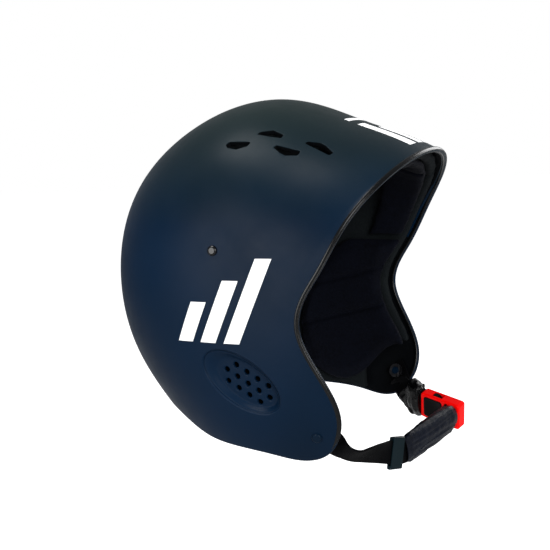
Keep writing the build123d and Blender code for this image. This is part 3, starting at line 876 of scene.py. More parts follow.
def level_normals(body):
    """Exact normals on the shell's two curved faces, so that they shade evenly beside the holes."""
    body.data.shade_smooth()
    sharpen(body, 35)
    mesh = body.data
    co = np.empty(len(mesh.vertices) * 3)
    mesh.vertices.foreach_get("co", co)
    co = co.reshape(-1, 3) / MM
    wanted = outward(co)
    under = co + wanted * SHELL_THICKNESS
    on_face = np.abs(level(co) - 1) < 2e-4
    on_back = np.abs(level(under) - 1) < 2e-4
    normals = np.zeros_like(co)
    normals[on_face] = wanted[on_face]
    normals[on_back] = -outward(under)[on_back]
    corner_of = np.empty(len(mesh.loops), int)
    mesh.loops.foreach_get("vertex_index", corner_of)
    facing = np.empty(len(mesh.polygons) * 3)
    mesh.polygons.foreach_get("normal", facing)
    counts = np.empty(len(mesh.polygons), int)
    mesh.polygons.foreach_get("loop_total", counts)
    facing = np.repeat(facing.reshape(-1, 3), counts, axis=0)
    corners = normals[corner_of]
    corners[np.sum(corners * facing, 1) < 0.94] = 0
    mesh.normals_split_custom_set(corners.tolist())


def sharpen(made, limit):
    """Smooth shading with edges steeper than the limit kept crisp."""
    work = bmesh.new()
    work.from_mesh(made.data)
    for edge in work.edges:
        edge.smooth = edge.calc_face_angle(0) < radians(limit)
    work.to_mesh(made.data)
    work.free()


shell()


# ---------------------------------------------------------------- ear dishes
FLOOR_LENGTH = 22.4
FLOOR_HEIGHT = 11.9
FLOOR_SHIFT = 3.6
DISH_RIM = 0.9              # depth of the dish where it meets the shell's rounded edge
DISH_THICKNESS = 1.6
DISH_CLEARANCE = 0.1
DRILL = ((0.9, -1.5), (0.5, -EAR_DEPTH + 0.12), (0.22, -EAR_DEPTH - 0.12),
         (0.0, -EAR_DEPTH - 0.42), (0.0, -EAR_DEPTH - 4.0))
DRILL_POINTS = 28


def dish_height(share):
    """Height of the dish from its rim, share 0, to the edge of its floor, share 1."""
    return -DISH_RIM - (EAR_DEPTH - DISH_RIM) * smooth(share)


def ear_dish(side):
    """The dished plate behind the ear opening, with its sound holes."""
    place = ear_place(side)
    rim_line, rim_outs = ellipse(EAR_LENGTH - DISH_CLEARANCE, EAR_HEIGHT - DISH_CLEARANCE)
    floor_line, _ = ellipse(FLOOR_LENGTH, FLOOR_HEIGHT)
    floor_line = floor_line + (FLOOR_SHIFT, 0)
    rows = [(rim_line + rim_outs * 2.4, -3.2), (rim_line + rim_outs * 0.9, -3.15),
            (rim_line, -2.4), (rim_line, -1.4)]
    for share in np.linspace(0, 1, 13):
        rows.append((rim_line + (floor_line - rim_line) * share, float(dish_height(share))))
    for share in np.linspace(1, 0, 12)[1:-1]:
        rows.append(((floor_line - (FLOOR_SHIFT, 0)) * share + (FLOOR_SHIFT, 0), -EAR_DEPTH))
    front = [on_shell(place, line, np.full(len(line), height)) for line, height in rows]
    middle = on_shell(place, np.array([[FLOOR_SHIFT, 0.0]]), np.array([-EAR_DEPTH]))[0]
    count = len(rim_line)
    front = np.array(front)
    inwards = place[3] * DISH_THICKNESS
    back = front - inwards
    back[:4] = front[0] - inwards
    vertices = np.vstack((front.reshape(-1, 3), back.reshape(-1, 3), middle, middle - inwards))
    total = front.shape[0] * count
    faces = grid_faces(front.shape[0], count, close_columns=True)
    faces += grid_faces(front.shape[0], count, close_columns=True, start=total, flip=True)
    last = total - count
    for j in range(count):
        k = (j + 1) % count
        faces.append((last + j, last + k, 2 * total))
        faces.append((total + last + k, total + last + j, 2 * total + 1))
        faces.append((j, total + j, total + k, k))
    hand = "left" if side > 0 else "right"
    dish = clean(new_object("ear_dish_" + hand, vertices, faces), distance=0.01)
    tools = []
    for row, holes in enumerate(HOLE_ROWS):
        for k in range(holes):
            spot = np.array((HOLE_SHIFT + (k - (holes - 1) / 2) * HOLE_PITCH,
                             (row - 1) * HOLE_ROW_PITCH * upright(place)))
            ring, outs = ellipse(HOLE_RADIUS, HOLE_RADIUS, DRILL_POINTS)
            loops = [on_shell(place, spot + ring + outs * out, np.full(len(ring), height))
                     for out, height in DRILL]
            tools.append(loops_solid(loops, "drill"))
    cut(dish, [joined(tools, "drills")])
    dish.data.shade_smooth()
    sharpen(dish, 42)
    finish_piece(dish, "shell", "helmet", "shell", "ear_grille_" + hand)


for side in (1, -1):
    ear_dish(side)


# ---------------------------------------------------------------- face trim
# Section of the rubber channel: out past the rim, and up from the shell's face.
TRIM_SECTION = (
    (-1.3, 0.05), (-1.2, 0.22), (-0.9, 0.34), (-0.3, 0.36), (0.35, 0.30), (0.62, 0.10),
    (0.78, -0.12), (1.02, -0.02), (1.30, -0.12), (1.46, -0.40), (1.42, -0.74), (1.18, -0.98),
    (0.92, -1.02), (0.98, -1.6), (0.94, -2.3), (0.74, -2.9), (0.4, -3.3), (-0.2, -3.45),
    (-1.7, -3.42), (-2.0, -3.3), (-2.0, -3.05), (-0.4, -3.04), (0.4, -2.7), (0.7, -1.5),
    (0.4, -0.4), (-0.4, 0.0),
)
TRIM_FADE = 5               # rim points over which the channel fades out at its ends


def trim_frames():
    """Rim frames from the right tip over the brow to the left tip."""
    angles = wrapped(angle_of(rim))
    half = len(rim) // 2
    left = [i for i in range(half + 1) if angles[i] > radians(TIP_ANGLE)]
    right = [i for i in range(half + 1, len(rim)) if angles[i] > radians(TIP_ANGLE)]
    order = right + left
    return rim[order], rim_out[order], rim_tip[order]


def face_trim():
    """A rubber channel pressed over the face edge of the shell."""
    centres, outs, tips = trim_frames()
    place = np.arange(len(centres))
    fade = smooth(np.minimum(place, place[::-1]) / TRIM_FADE)
    vertices = []
    for p, n, t, full in zip(centres, outs, tips, fade):
        reach_out, height = 0.35 + 0.65 * full, 0.8 + 0.2 * full
        for a, b in TRIM_SECTION:
            vertices.append(p + t * a * reach_out + n * ((b + RIM_RADIUS) * height - RIM_RADIUS))
    faces = capped_faces(len(centres), len(TRIM_SECTION))
    trim = clean(new_object("edge_trim", vertices, faces), distance=0.001)
    sharpen(trim, 50)
    finish_piece(trim, "trim_rubber", "helmet", "trim_rubber", "face_trim")


face_trim()


# ---------------------------------------------------------------- liner
FOAM_VOXEL = 1.9
FOAM_SOFTENING = 9          # rounds of smoothing
PAD_VOXEL = 2.2
PAD_SOFTENING = 18
PAD_PRESSURE = 4.0
PAD_SWELL = 1.6
CHANNEL_WIDTH = 1.9         # half the width of a sewn channel
CHANNEL_DEPTH = 2.0


def copy_of(node, name):
    """A new object with a copy of a CAD node's mesh."""
    made = bpy.data.objects.new(name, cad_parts[node].data.copy())
    made.data.materials.clear()
    bpy.context.scene.collection.objects.link(made)
    return made


def remeshed(made, voxel):
    step = made.modifiers.new("even", "REMESH")
    step.mode = "VOXEL"
    step.voxel_size = voxel * MM
    return bake_modifiers(made)


def softened(made, times):
    step = made.modifiers.new("soften", "SMOOTH")
    step.factor = 0.6
    step.iterations = times
    bake_modifiers(made)


def foam_panel(node):
    """A cut foam panel: the CAD block with softened cut edges."""
    panel = remeshed(copy_of(node, node + "_panel"), FOAM_VOXEL)
    softened(panel, FOAM_SOFTENING)
    panel.data.shade_smooth()
    finish_piece(panel, "foam", "helmet", "foam", node)


for node in ("foam_front", "foam_crown", "foam_rear", "foam_right", "foam_left"):
    foam_panel(node)


SWELL_FRAMES = 20


def inflate(made, pressure, cap):
    """Lets a cloth skin swell from inside, with each point held within a cap of its start."""
    start = np.array([v.co for v in made.data.vertices])
    step = made.modifiers.new("swell", "CLOTH")
    cloth = step.settings
    cloth.use_pressure = True
    cloth.uniform_pressure_force = pressure
    cloth.tension_stiffness = 12
    cloth.bending_stiffness = 1.2
    cloth.effector_weights.gravity = 0
    step.point_cache.frame_start = 1
    step.point_cache.frame_end = SWELL_FRAMES
    scene = bpy.context.scene
    for number in range(1, SWELL_FRAMES + 1):
        scene.frame_set(number)
    graph = bpy.context.evaluated_depsgraph_get()
    moved = np.array([v.co for v in made.evaluated_get(graph).data.vertices])
    made.modifiers.remove(step)
    scene.frame_set(1)
    shift = moved - start
    size = np.linalg.norm(shift, axis=1, keepdims=True)
    shift *= np.minimum(1, cap * MM / np.maximum(size, 1e-9))
    made.data.vertices.foreach_set("co", (start + shift).ravel())
    made.data.update()


def comfort_pad(node, channels):
    """A soft pad: swollen cloth over foam, with sewn channels across its face."""
    pad = remeshed(copy_of(node, node + "_cushion"), PAD_VOXEL)
    softened(pad, PAD_SOFTENING)
    inflate(pad, PAD_PRESSURE, PAD_SWELL)
    subdivide(pad)
    co = np.array([v.co for v in pad.data.vertices]) / MM
    normal = outward(co)
    facing = np.array([v.normal for v in pad.data.vertices])
    inward = smooth((-np.sum(facing * normal, 1) - 0.3) / 0.5)
    groove = np.zeros(len(co))
    for point, direction in channels:
        distance = np.abs((co - np.array(point)) @ unit(np.array(direction, float)))
        groove = np.maximum(groove, np.exp(-(distance / CHANNEL_WIDTH) ** 2))
    co = co + normal * (groove * inward * CHANNEL_DEPTH)[:, None]
    pad.data.vertices.foreach_set("co", (co * MM).ravel())
    pad.data.update()
    pad.data.shade_smooth()
    finish_piece(pad, "pad_fabric", "helmet", "pad_fabric", node)


PAD_CHANNELS = {
    "brow_pad": [((x, 0, 0), (1, 0, 0)) for x in (-45, 0, 45)],
    "crown_pad": [((x, 0, 0), (1, 0, 0)) for x in (-19, 0, 19)] + [((0, 6, 0), (0, 1, 0))],
    "nape_pad": [((x, 0, 0), (1, 0, 0)) for x in (-24, 0, 24)],
    "cheek_pad_right": [((0, 0, z), (0, 0.25, 1)) for z in (-22, -52)],
    "cheek_pad_left": [((0, 0, z), (0, 0.25, 1)) for z in (-22, -52)],
}
for node, channels in PAD_CHANNELS.items():
    comfort_pad(node, channels)


# ---------------------------------------------------------------- buckle frame
BUCKLE_MOUTH = ahead(50.0, 80.0, -110.3)
BUCKLE_AXIS = unit(ahead(-0.294, 0.940, -0.176))
BUCKLE_FACE = ahead(-0.908, -0.332, -0.255)
BUCKLE_FACE = unit(BUCKLE_FACE - BUCKLE_AXIS * (BUCKLE_FACE @ BUCKLE_AXIS))
BUCKLE_UP = np.cross(BUCKLE_FACE, BUCKLE_AXIS)


def buckle_point(along, out, up=0.0):
    return BUCKLE_MOUTH + BUCKLE_AXIS * along + BUCKLE_FACE * out + BUCKLE_UP * up


def bevelled_node(node, paint, width):
    """A CAD node that stays, with its moulded edges rounded by a modifier."""
    made = painted(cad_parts[node], paint)
    weld = made.modifiers.new("weld", "WELD")
    weld.merge_threshold = 0.00001
    step = made.modifiers.new("rounded", "BEVEL")
    step.width = width * MM
    step.segments = 3
    step.limit_method = "ANGLE"
    step.angle_limit = radians(38)
    step.harden_normals = False


# Outline of the panel along and up the housing, and its edge as inset and height off the middle.
INLAY = ((3.0, -8.3), (18.5, -8.3), (18.5, 8.3), (3.0, 8.3))
INLAY_EDGE = ((0.0, 4.0), (0.0, 4.62), (0.12, 4.76), (0.4, 4.84), (1.2, 4.86), (1.7, 4.7))


def buckle_inlay():
    """The black panel let into the front of the red housing."""
    outline, outs = rounded_outline(INLAY, 2.0, 6)
    loops = []
    for inset, out in INLAY_EDGE:
        loops.append([buckle_point(along, out, up) for along, up in outline - outs * inset])
    inlay = loops_solid(loops, "buckle_inlay")
    inlay.data.shade_smooth()
    sharpen(inlay, 50)
    finish_piece(inlay, "buckle_black", "chin_strap", "buckle_black")


buckle_inlay()
for node, paint, rounding in (
        ("buckle_housing", "buckle_red", 0.45), ("buckle_latch", "buckle_black", 0.4),
        ("prong_upper", "buckle_black", 0.3), ("prong_lower", "buckle_black", 0.3),
        ("strap_slider", "slider_plastic", 0.3)):
    bevelled_node(node, paint, rounding)
for node, paint in (("upper_rivets", "rivet_black"), ("lower_rivets", "rivet_navy"),
                    ("upper_washers", "washer_steel"), ("lower_washers", "washer_steel")):
    painted(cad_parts[node], paint)


# ---------------------------------------------------------------- webbing
def strip_line(stations, count):
    """Smooth centres and width directions through (centre, direction) stations."""
    centres = spline_through([c for c, _ in stations], count)
    chord = run_lengths([c for c, _ in stations])
    at = np.linspace(0, chord[-1], count)
    across = np.stack([np.interp(at, chord, [d[k] for _, d in stations]) for k in range(3)], -1)
    for _ in range(count // 12):
        across[1:-1] = (across[:-2] + 2 * across[1:-1] + across[2:]) / 4
    return centres, unit(across)


EDGE_TILT = ahead(0, 0.605, 0.796)
RUN_START = ahead(-63.0, 70.5, -117.2)
SLIDER_CENTRE = ahead(-33.0, 82.6, -123.5)
RUN_DIR = unit(SLIDER_CENTRE - RUN_START)
RUN_ACROSS = ahead(0.18, 0.073, 0.961)


def anchor_stations(side):
    x, forward, up = LOWER_RIVET
    out = ahead(side * LOWER_RIVET_OUT[0], *LOWER_RIVET_OUT[1:])
    grip = SHELL_THICKNESS + 1.2 + WEB_THICKNESS / 2
    centre = ahead(side * x, forward, up) - out * grip
    end = ahead(side * STRAP_TIP_X, SWING_FORWARD - 0.4, SWING_UP + 0.5)
    across = np.cross(end - centre, out) * -side
    start = centre - unit(end - centre) * 6.5 - out * 1.2
    return [(start, unit(across)), (centre + (end - centre) * 0.35, unit(across)), (end, EDGE_TILT)]


def right_webbing():
    """The long strap: riveted end, shell tip, straight run through the slider, buckle slot."""
    stations = anchor_stations(-1) + [
        (ahead(-75.2, 62.0, -111.9), ahead(-0.55, 0.42, 0.72)),
        (ahead(-70.5, 66.6, -114.9), ahead(-0.76, 0.32, 0.60)),
        (RUN_START + (0, 0, 0.8), ahead(-0.70, 0.30, 0.66)),
        (RUN_START + RUN_DIR * 16.5 + (0, 0, 1.1), ahead(-0.36, 0.24, 0.93)),
        (SLIDER_CENTRE - RUN_DIR * 7.0 + (0, 0, 0.8), RUN_ACROSS),
        (SLIDER_CENTRE, RUN_ACROSS),
        (SLIDER_CENTRE + RUN_DIR * 7.5, RUN_ACROSS),
        ((SLIDER_CENTRE + RUN_DIR * 7.5 + buckle_point(26.5, 9.0)) / 2,
         (RUN_ACROSS + BUCKLE_UP) / 2),
        (buckle_point(26.5, 9.0), BUCKLE_UP),
        (buckle_point(26.5, 2.0), BUCKLE_UP),
        (buckle_point(26.3, -4.6), BUCKLE_UP),
    ]
    strip = swept("long_webbing", *strip_line(stations, 170), WEB_WIDTH, WEB_THICKNESS)
    painted(strip, "webbing")
    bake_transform(strip)
    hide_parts("strap_anchor_right", "right_strap")


right_webbing()


def return_webbing():
    """The strap's way back from the inner bar, along the long strap inside the sleeve."""
    stations = [
        (SLIDER_CENTRE + RUN_DIR * 10.5 - BUCKLE_AXIS * 2.3, RUN_ACROSS),
        ((SLIDER_CENTRE + RUN_DIR * 10.5 - BUCKLE_AXIS * 2.3 + buckle_point(21.5, 9.0)) / 2,
         (RUN_ACROSS + BUCKLE_UP) / 2),
        (buckle_point(21.5, 9.0), BUCKLE_UP),
        (buckle_point(21.5, 2.0), BUCKLE_UP),
        (buckle_point(21.7, -4.6), BUCKLE_UP),
    ]
    strip = swept("return_webbing", *strip_line(stations, 70), WEB_WIDTH - 0.6, WEB_THICKNESS)
    finish_piece(strip, "webbing", "chin_strap", "webbing", "strap_return")
    bridge = [(buckle_point(26.6, -4.9), BUCKLE_UP), (buckle_point(24.0, -5.5), BUCKLE_UP),
              (buckle_point(21.4, -4.9), BUCKLE_UP)]
    loop = swept("webbing_turn", *strip_line(bridge, 16), WEB_WIDTH - 0.2, WEB_THICKNESS)
    finish_piece(loop, "webbing", "chin_strap", "webbing")


return_webbing()


def left_webbing():
    """The short strap from the left rivet to the bar of the latch, in two overlapping pieces."""
    anchor = anchor_stations(1)
    middle = (ahead(74.6, 61.0, -112.6), ahead(0.20, 0.30, 0.93))
    turn = (ahead(67.0, 65.0, -113.4), ahead(0.0, 0.20, 0.97))
    upper = swept("short_webbing", *strip_line(anchor + [middle, turn], 60),
                  WEB_WIDTH, WEB_THICKNESS)
    painted(upper, "webbing")
    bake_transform(upper)
    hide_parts("strap_anchor_left")
    stations = [middle, turn] + [(buckle_point(-6.0, out), BUCKLE_UP) for out in (-8.5, -4.2, 3.4)]
    lower = swept("latch_webbing", *strip_line(stations, 60), WEB_WIDTH - 0.4, WEB_THICKNESS)
    painted(lower, "webbing")
    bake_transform(lower)
    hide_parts("left_strap")


left_webbing()


# ---------------------------------------------------------------- chin sleeve
SLEEVE_START = SLIDER_CENTRE + RUN_DIR * 9.5 - BUCKLE_AXIS
SLEEVE_END = buckle_point(27.0, 6.8, 0.6)
SLEEVE_ROWS = 60
SLEEVE_SIDES = 72
SLEEVE_HALF_WIDTH = 10.3
SLEEVE_UNIT = 10.0          # distance across the sleeve that its relief counts as 1
SLEEVE_HALF_THICKNESS = 4.2
SLEEVE_FILLING = 2.1        # the sleeve is thicker by this much towards the buckle
SLEEVE_BELLY = 0.05
SLEEVE_POCKET = (8.5, 2.9, 1.9)     # half width, half thickness and what that gains by the end
FLAP_EDGE = -0.30           # where the wrapped-over flap ends, as a share of the half width
FLAP_LEAN = 0.34            # the flap starts this much nearer the edge, and runs out to it
FLAP_HEIGHT = 0.75
CREASES = ((-0.62, 0.9, 1.0), (0.12, 0.85, 2.4), (0.52, 0.75, 4.1))     # place, depth, phase
CREASE_WIDTH = 0.065
SEAM_PLACES = (FLAP_EDGE + 0.13, 0.90)
STITCH_PITCH = 2.6
STITCH_RADIUS = 0.22
STITCH_LIFT = 0.12
STITCH_POINTS = 8           # points of a seam for each stitch and its gap


def squircle(turn, half_width, half_thickness, power):
    """Points of a rounded rectangle-like section."""
    c, s = np.cos(turn), np.sin(turn)
    return (half_width * np.sign(c) * np.abs(c) ** (2 / power),
            half_thickness * np.sign(s) * np.abs(s) ** (2 / power))


def sleeve_frame(share):
    """Centre, width direction and face direction at a share of the sleeve's length."""
    run = unit(SLEEVE_END - SLEEVE_START)
    across = RUN_ACROSS * (1 - share) + BUCKLE_UP * share
    across = unit(across - run * (across @ run))
    return SLEEVE_START + (SLEEVE_END - SLEEVE_START) * share, across, np.cross(run, across)


def flap_lean(share):
    return FLAP_LEAN * (1 - smooth(share / 0.35))


def sleeve_thickness(share):
    """Half the sleeve's thickness at a share of its length."""
    return SLEEVE_HALF_THICKNESS + SLEEVE_FILLING * smooth(share / 0.7)


def sleeve_relief(share, a, b):
    """Height of the flap, the creases and the soft lumps on the sleeve's skin."""
    flap = smooth((a - FLAP_EDGE + flap_lean(share)) / 0.07)
    crease = 0.0
    for middle, depth, phase in CREASES:
        drift = middle + 0.10 * sin(3.1 * share + phase)
        strength = depth * smooth(share / 0.2) * smooth((1.05 - share) / 0.3)
        crease = crease - strength * np.exp(-((a - drift) / CREASE_WIDTH) ** 2)
    lump = 0.55 * noise(Vector((share * 4.2, a * 2.3, b * 1.7)))
    pucker = 0.22 * noise(Vector((share * 17.0, a * 3.0, b * 2.0 + 5.0)))
    return FLAP_HEIGHT * float(flap) * (b > 0) + crease + lump + pucker


def edge_notch(share, x):
    """The shallow nick in the sleeve's lower edge, near its middle."""
    along = smooth((share - 0.38) / 0.02) - smooth((share - 0.60) / 0.02)
    return 0.45 * smooth((-x / SLEEVE_UNIT - 0.75) / 0.2) * along


def tapered(share, start, start_reach, end, end_reach):
    """A factor that grows from start at share 0 to 1, and falls to end at share 1."""
    return (min(1, start + (1 - start) * smooth(share / start_reach))
            * min(1, end + (1 - end) * smooth((1 - share) / end_reach)))


def sleeve_skin():
    """Rows of the sleeve: along its outside, round the end's lip and back through the pocket."""
    turn = np.linspace(0, 2 * pi, SLEEVE_SIDES, endpoint=False)
    rows = []
    for share in np.linspace(0, 1, SLEEVE_ROWS):
        centre, across, face = sleeve_frame(share)
        ends = tapered(share, 0.80, 0.10, 0.88, 0.10)
        belly = 1 + SLEEVE_BELLY * sin(pi * share)
        a, b = squircle(turn, SLEEVE_HALF_WIDTH * ends * belly, sleeve_thickness(share) * ends, 2.5)
        skin = []
        for x, y in zip(a, b):
            bump = sleeve_relief(share, x / SLEEVE_UNIT, np.sign(y) * min(1.0, abs(y) / 4.0))
            bump -= edge_notch(share, x)
            size = np.hypot(x, y)
            skin.append(centre + (across * x + face * y) * (1 + bump / size))
        rows.append(np.array(skin))
    width, thickness, gain = SLEEVE_POCKET
    for share in np.linspace(1, 0, SLEEVE_ROWS // 2):
        centre, across, face = sleeve_frame(share)
        a, b = squircle(turn, width, thickness + gain * share, 4.0)
        rows.append(centre + across * a[:, None] + face * b[:, None])
    return np.array(rows)


def stitches(points, lift):
    """Short threads along a line of points, each one arched slightly over the fabric."""
    path = np.asarray(points, float)
    count = int(run_lengths(path)[-1] / STITCH_PITCH)
    fine = even(path, count * STITCH_POINTS)
    threads = []
    for k in range(count):
        part = fine[k * STITCH_POINTS:k * STITCH_POINTS + 6].copy()
        part += lift * np.array([0, 0.7, 1, 1, 0.7, 0])[:, None]
        threads.append(tube("stitch", part, STITCH_RADIUS))
    return joined(threads, "seam")


def chin_sleeve():
    """The wrapped and sewn pad over the long strap, from the slider to the buckle."""
    rows = sleeve_skin()
    faces = grid_faces(len(rows), SLEEVE_SIDES, close_columns=True, close_rows=True)
    sleeve = clean(new_object("padded_sleeve", rows.reshape(-1, 3), faces), distance=0.001)
    inflate(sleeve, 3.0, 0.5)
    subdivide(sleeve)
    sleeve.data.shade_smooth()
    finish_piece(sleeve, "sleeve_fabric", "chin_strap", "sleeve_fabric", "chin_sleeve")
    seams = []
    for place in SEAM_PLACES:
        seam = []
        for share in np.linspace(0.10, 0.93, 60):
            centre, across, face = sleeve_frame(share)
            edge = place - flap_lean(share) * (place < 0.5)
            x = edge * SLEEVE_UNIT
            y = sleeve_thickness(share) * (1 - min(0.985, abs(edge) / 1.05) ** 2.5) ** 0.4
            bump = sleeve_relief(share, edge, min(1.0, y / 4.0))
            size = np.hypot(x, y)
            seam.append(centre + (across * x + face * y) * (1 + (bump + 0.10) / size))
        seams.append(stitches(seam, STITCH_LIFT * sleeve_frame(0.5)[2]))
    finish_piece(joined(seams, "sleeve_stitching"), "thread", "chin_strap", "sleeve_fabric")


chin_sleeve()


# ---------------------------------------------------------------- gathered sleeve
COVER_ROWS = 110
COVER_SIDES = 64
COVER_WIDTH = (8.8, 4.2, 0.45)      # half width at the rivet, its gain and by which share
COVER_THICKNESS = (2.6, 4.4, 0.55)
COVER_POCKET = (8.4, 1.3, 1.2)
FOLD_DEPTH = 2.6
FOLD_PITCH = 9.0                    # folds along the cover
RUFFLE = 0.7


def gathered_sleeve():
    """A loose shiny cover, bunched up over the short strap and the bar of the latch."""
    stations = [
        (ahead(75.4, 59.0, -107.6), ahead(0.10, 0.40, 0.90)),
        (ahead(73.0, 63.8, -111.8), ahead(0.10, 0.30, 0.95)),
        (ahead(68.5, 67.4, -112.4), (ahead(0.0, 0.20, 0.97) + BUCKLE_UP) / 2),
        (buckle_point(-9.5, -3.4, -0.6), BUCKLE_UP),
        (buckle_point(-4.5, -0.9, -0.8), BUCKLE_UP),
        (buckle_point(-0.4, -0.2, -0.6), BUCKLE_UP),
    ]
    centres, across = strip_line(stations, COVER_ROWS)
    run = unit(np.gradient(centres, axis=0))
    across = unit(across - run * np.sum(across * run, 1, keepdims=True))
    frames = list(zip(np.linspace(0, 1, COVER_ROWS), centres, across, np.cross(run, across)))
    turn = np.linspace(0, 2 * pi, COVER_SIDES, endpoint=False)
    rows = []
    for share, centre, side, out in frames:
        mouth = tapered(share, 0.80, 0.08, 0.86, 0.10)
        wide, thick = [start + gain * smooth(share / reach_share)
                       for start, gain, reach_share in (COVER_WIDTH, COVER_THICKNESS)]
        a, b = squircle(turn, wide * mouth, thick * mouth, 2.3)
        ring = []
        for x, y, t in zip(a, b, turn):
            where = Vector((share * FOLD_PITCH, cos(t) * 1.1, sin(t) * 1.1))
            folds = -FOLD_DEPTH * abs(noise(where + Vector((3.0, 0, 0))))
            ruffle = RUFFLE * noise(where * 2.3)
            size = np.hypot(x, y)
            ring.append(centre + (side * x + out * y) * (1 + (0.6 + folds + ruffle) / size))
        rows.append(np.array(ring))
    half_width, half_height, gain = COVER_POCKET
    for share, centre, side, out in frames[::-2]:
        a, b = squircle(turn, half_width, half_height + gain * smooth(share / 0.6), 4.0)
        rows.append(centre + side * a[:, None] + out * b[:, None])
    rows = np.array(rows)
    faces = grid_faces(len(rows), COVER_SIDES, close_columns=True, close_rows=True)
    cover = clean(new_object("gathered_cover", rows.reshape(-1, 3), faces), distance=0.001)
    subdivide(cover)
    cover.data.shade_smooth()
    painted(cover, "gathered")
    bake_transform(cover)


gathered_sleeve()


# ---------------------------------------------------------------- printed bars
DECAL_PROUD = 0.14
DECAL_DEEP = 0.25
DECAL_PITCH = 2.0           # spacing of a print's points
BAR_BOTTOM = -27.0          # of the bars on the side, from the plane's origin
BAR_WIDTH = 11.0
BAR_LEAN = 0.45
SIDE_BARS = ((-25.0, 26.0), (-8.0, 40.0), (9.0, 54.0))          # start and height
BROW_FRONT = 29.0
BROW_BARS = ((-17.0, 38.0), (0.0, 30.0), (17.0, 22.0))          # middle and length
BROW_SHIFT = 3.0            # the front ends of the brow bars stand over to the right
BROW_LINE = ((-22, -19), (22, -19), (22, -15.5), (-22, -15.5))


def printed_bar(place, corners):
    """A thin print that lies on the shell, from four corners in a plane above it."""
    p = np.array(corners, float)
    longest = max(np.linalg.norm(p[1] - p[0]), np.linalg.norm(p[2] - p[1]))
    steps = int(longest / DECAL_PITCH) + 2
    s, t = np.meshgrid(np.linspace(0, 1, steps), np.linspace(0, 1, steps), indexing="ij")
    s, t = s[..., None], t[..., None]
    flat = ((p[0] * (1 - s) + p[1] * s) * (1 - t) + (p[3] * (1 - s) + p[2] * s) * t).reshape(-1, 2)
    top = on_shell(place, flat, np.full(len(flat), DECAL_PROUD))
    low = on_shell(place, flat, np.full(len(flat), -DECAL_DEEP))
    count = steps * steps
    faces = grid_faces(steps, steps) + grid_faces(steps, steps, start=count, flip=True)
    grid = np.arange(count).reshape(steps, steps)
    edge = [*grid[0], *grid[1:, -1], *grid[-1, -2::-1], *grid[-2:0:-1, 0]]
    for here, after in zip(edge, edge[1:] + edge[:1]):
        faces.append((here, after, after + count, here + count))
    bar = clean(new_object("bar", np.vstack((top, low)), faces), distance=0.0005)
    sharpen(bar, 40)
    return bar


def flank_bars(side):
    """Three slanted bars on the side, taller towards the face."""
    place = plane(ahead(side * HALF_WIDTH, -16, -12), (0, 1, 0), (side, 0, 0))
    bars = []
    for start, height in SIDE_BARS:
        lean = BAR_LEAN * height
        corners = [(-forward, upright(place) * up) for forward, up in (
            (start, BAR_BOTTOM), (start + BAR_WIDTH, BAR_BOTTOM),
            (start + BAR_WIDTH + lean, BAR_BOTTOM + height), (start + lean, BAR_BOTTOM + height))]
        bars.append(printed_bar(place, corners))
    name = "side_bars_left" if side > 0 else "side_bars_right"
    finish_piece(joined(bars, name), "decal", "helmet", "shell")


def brow_bars():
    """The same three bars over the brow, with a thin line behind them."""
    place = plane(ahead(0, 69, 96), (1, 0, 0), ahead(0, 0.60, 0.80))
    ahead_is = -1 if place[2][1] > 0 else 1
    prints = []
    for middle, length in BROW_BARS:
        left, right = middle - BAR_WIDTH / 2, middle + BAR_WIDTH / 2
        back = BROW_FRONT - length
        prints.append(((left, back), (right, back),
                       (right - BROW_SHIFT, BROW_FRONT), (left - BROW_SHIFT, BROW_FRONT)))
    prints.append(BROW_LINE)
    bars = [printed_bar(place, [(x, forward * ahead_is) for x, forward in corners])
            for corners in prints]
    finish_piece(joined(bars, "brow_bars"), "decal", "helmet", "shell")


for side in (1, -1):
    flank_bars(side)
brow_bars()


# ---------------------------------------------------------------- camera, light and stage
CAMERA_AT = (-0.5870, -0.2506, 0.0716)
CAMERA_RIGHT = (0.410, -0.911, -0.037)
CAMERA_UP = (0.128, 0.018, 0.992)
LENS = 57.8


def camera():
    data = bpy.data.cameras.new("camera")
    data.sensor_width = 36.0
    data.lens = LENS
    data.clip_end = 20.0
    made = bpy.data.objects.new("camera", data)
    right = Vector(CAMERA_RIGHT).normalized()
    up = Vector(CAMERA_UP)
    up = (up - right * up.dot(right)).normalized()
    back = right.cross(up)
    turn = Matrix((right, up, back)).transposed().to_4x4()
    made.matrix_world = Matrix.Translation(CAMERA_AT) @ turn
    bpy.context.scene.collection.objects.link(made)
    bpy.context.scene.camera = made


camera()


def area_light(name, place, target, size, power):
    data = bpy.data.lights.new(name, "AREA")
    data.shape = "DISK"
    data.size = size
    data.energy = power
    made = bpy.data.objects.new(name, data)
    made.location = place
    made.rotation_euler = (Vector(target) - Vector(place)).to_track_quat("-Z", "Y").to_euler()
    bpy.context.scene.collection.objects.link(made)


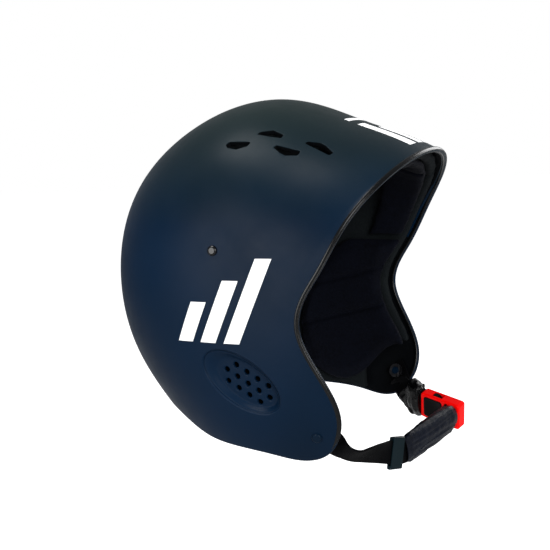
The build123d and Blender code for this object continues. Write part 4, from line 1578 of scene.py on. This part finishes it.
area_light("key", (-0.5, 0.45, 1.7), (0, 0, 0), 1.0, 30.0)
area_light("front_fill", (-1.4, -1.6, 0.5), (0, 0, -0.02), 1.3, 40.0)
area_light("side_strip", (-1.8, 0.7, 0.1), (0, 0, 0), 1.0, 20.0)
area_light("left_fill", (1.7, -0.7, 0.6), (0, 0, 0), 1.2, 16.0)

ROOM_LIGHT = 0.35


def studio():
    """A white room: bright where it is seen directly, and a softer light on the helmet."""
    world = bpy.data.worlds.new("studio")
    world.use_nodes = True
    tree = world.node_tree
    light = tree.nodes["Background"]
    light.inputs["Color"].default_value = (0.93, 0.96, 1.0, 1)
    light.inputs["Strength"].default_value = ROOM_LIGHT
    seen = tree.nodes.new("ShaderNodeBackground")
    seen.inputs["Color"].default_value = (1, 1, 1, 1)
    path = tree.nodes.new("ShaderNodeLightPath")
    choose = tree.nodes.new("ShaderNodeMixShader")
    tree.links.new(path.outputs["Is Camera Ray"], choose.inputs["Fac"])
    tree.links.new(light.outputs["Background"], choose.inputs[1])
    tree.links.new(seen.outputs["Background"], choose.inputs[2])
    tree.links.new(choose.outputs["Shader"], tree.nodes["World Output"].inputs["Surface"])
    bpy.context.scene.world = world


studio()
bpy.context.scene.view_settings.view_transform = "Standard"


FLOOR_REACH = 30.0
FLOOR_DROP = 0.25           # the helmet hangs this far above the floor
FLOOR_GLOW = 0.90


def stage():
    """A pale floor under the helmet, lit evenly up to the horizon."""
    paint = Paint("stage_paint", (0.5, 0.5, 0.5), 0.9)
    tone = paint.noise(3.0, 2.0)
    paint.colour(paint.ramp(tone, ((0.3, (0.48, 0.48, 0.48)), (0.7, (0.52, 0.52, 0.52)))))
    path = paint.node("ShaderNodeLightPath")
    glow = paint.math("MULTIPLY", path.outputs["Is Camera Ray"], FLOOR_GLOW)
    paint.shader.inputs["Emission Color"].default_value = (1, 1, 1, 1)
    paint.shader.inputs["Specular IOR Level"].default_value = 0.0
    paint.link(glow, paint.shader.inputs["Emission Strength"])
    low = float(cad_low[2]) - FLOOR_DROP
    corners = [(x * FLOOR_REACH, y * FLOOR_REACH, low)
               for x, y in ((-1, -1), (1, -1), (1, 1), (-1, 1))]
    floor = new_object("floor", np.array(corners) / MM, [(0, 1, 2, 3)])
    floor.data.materials.append(paint.material)


stage()
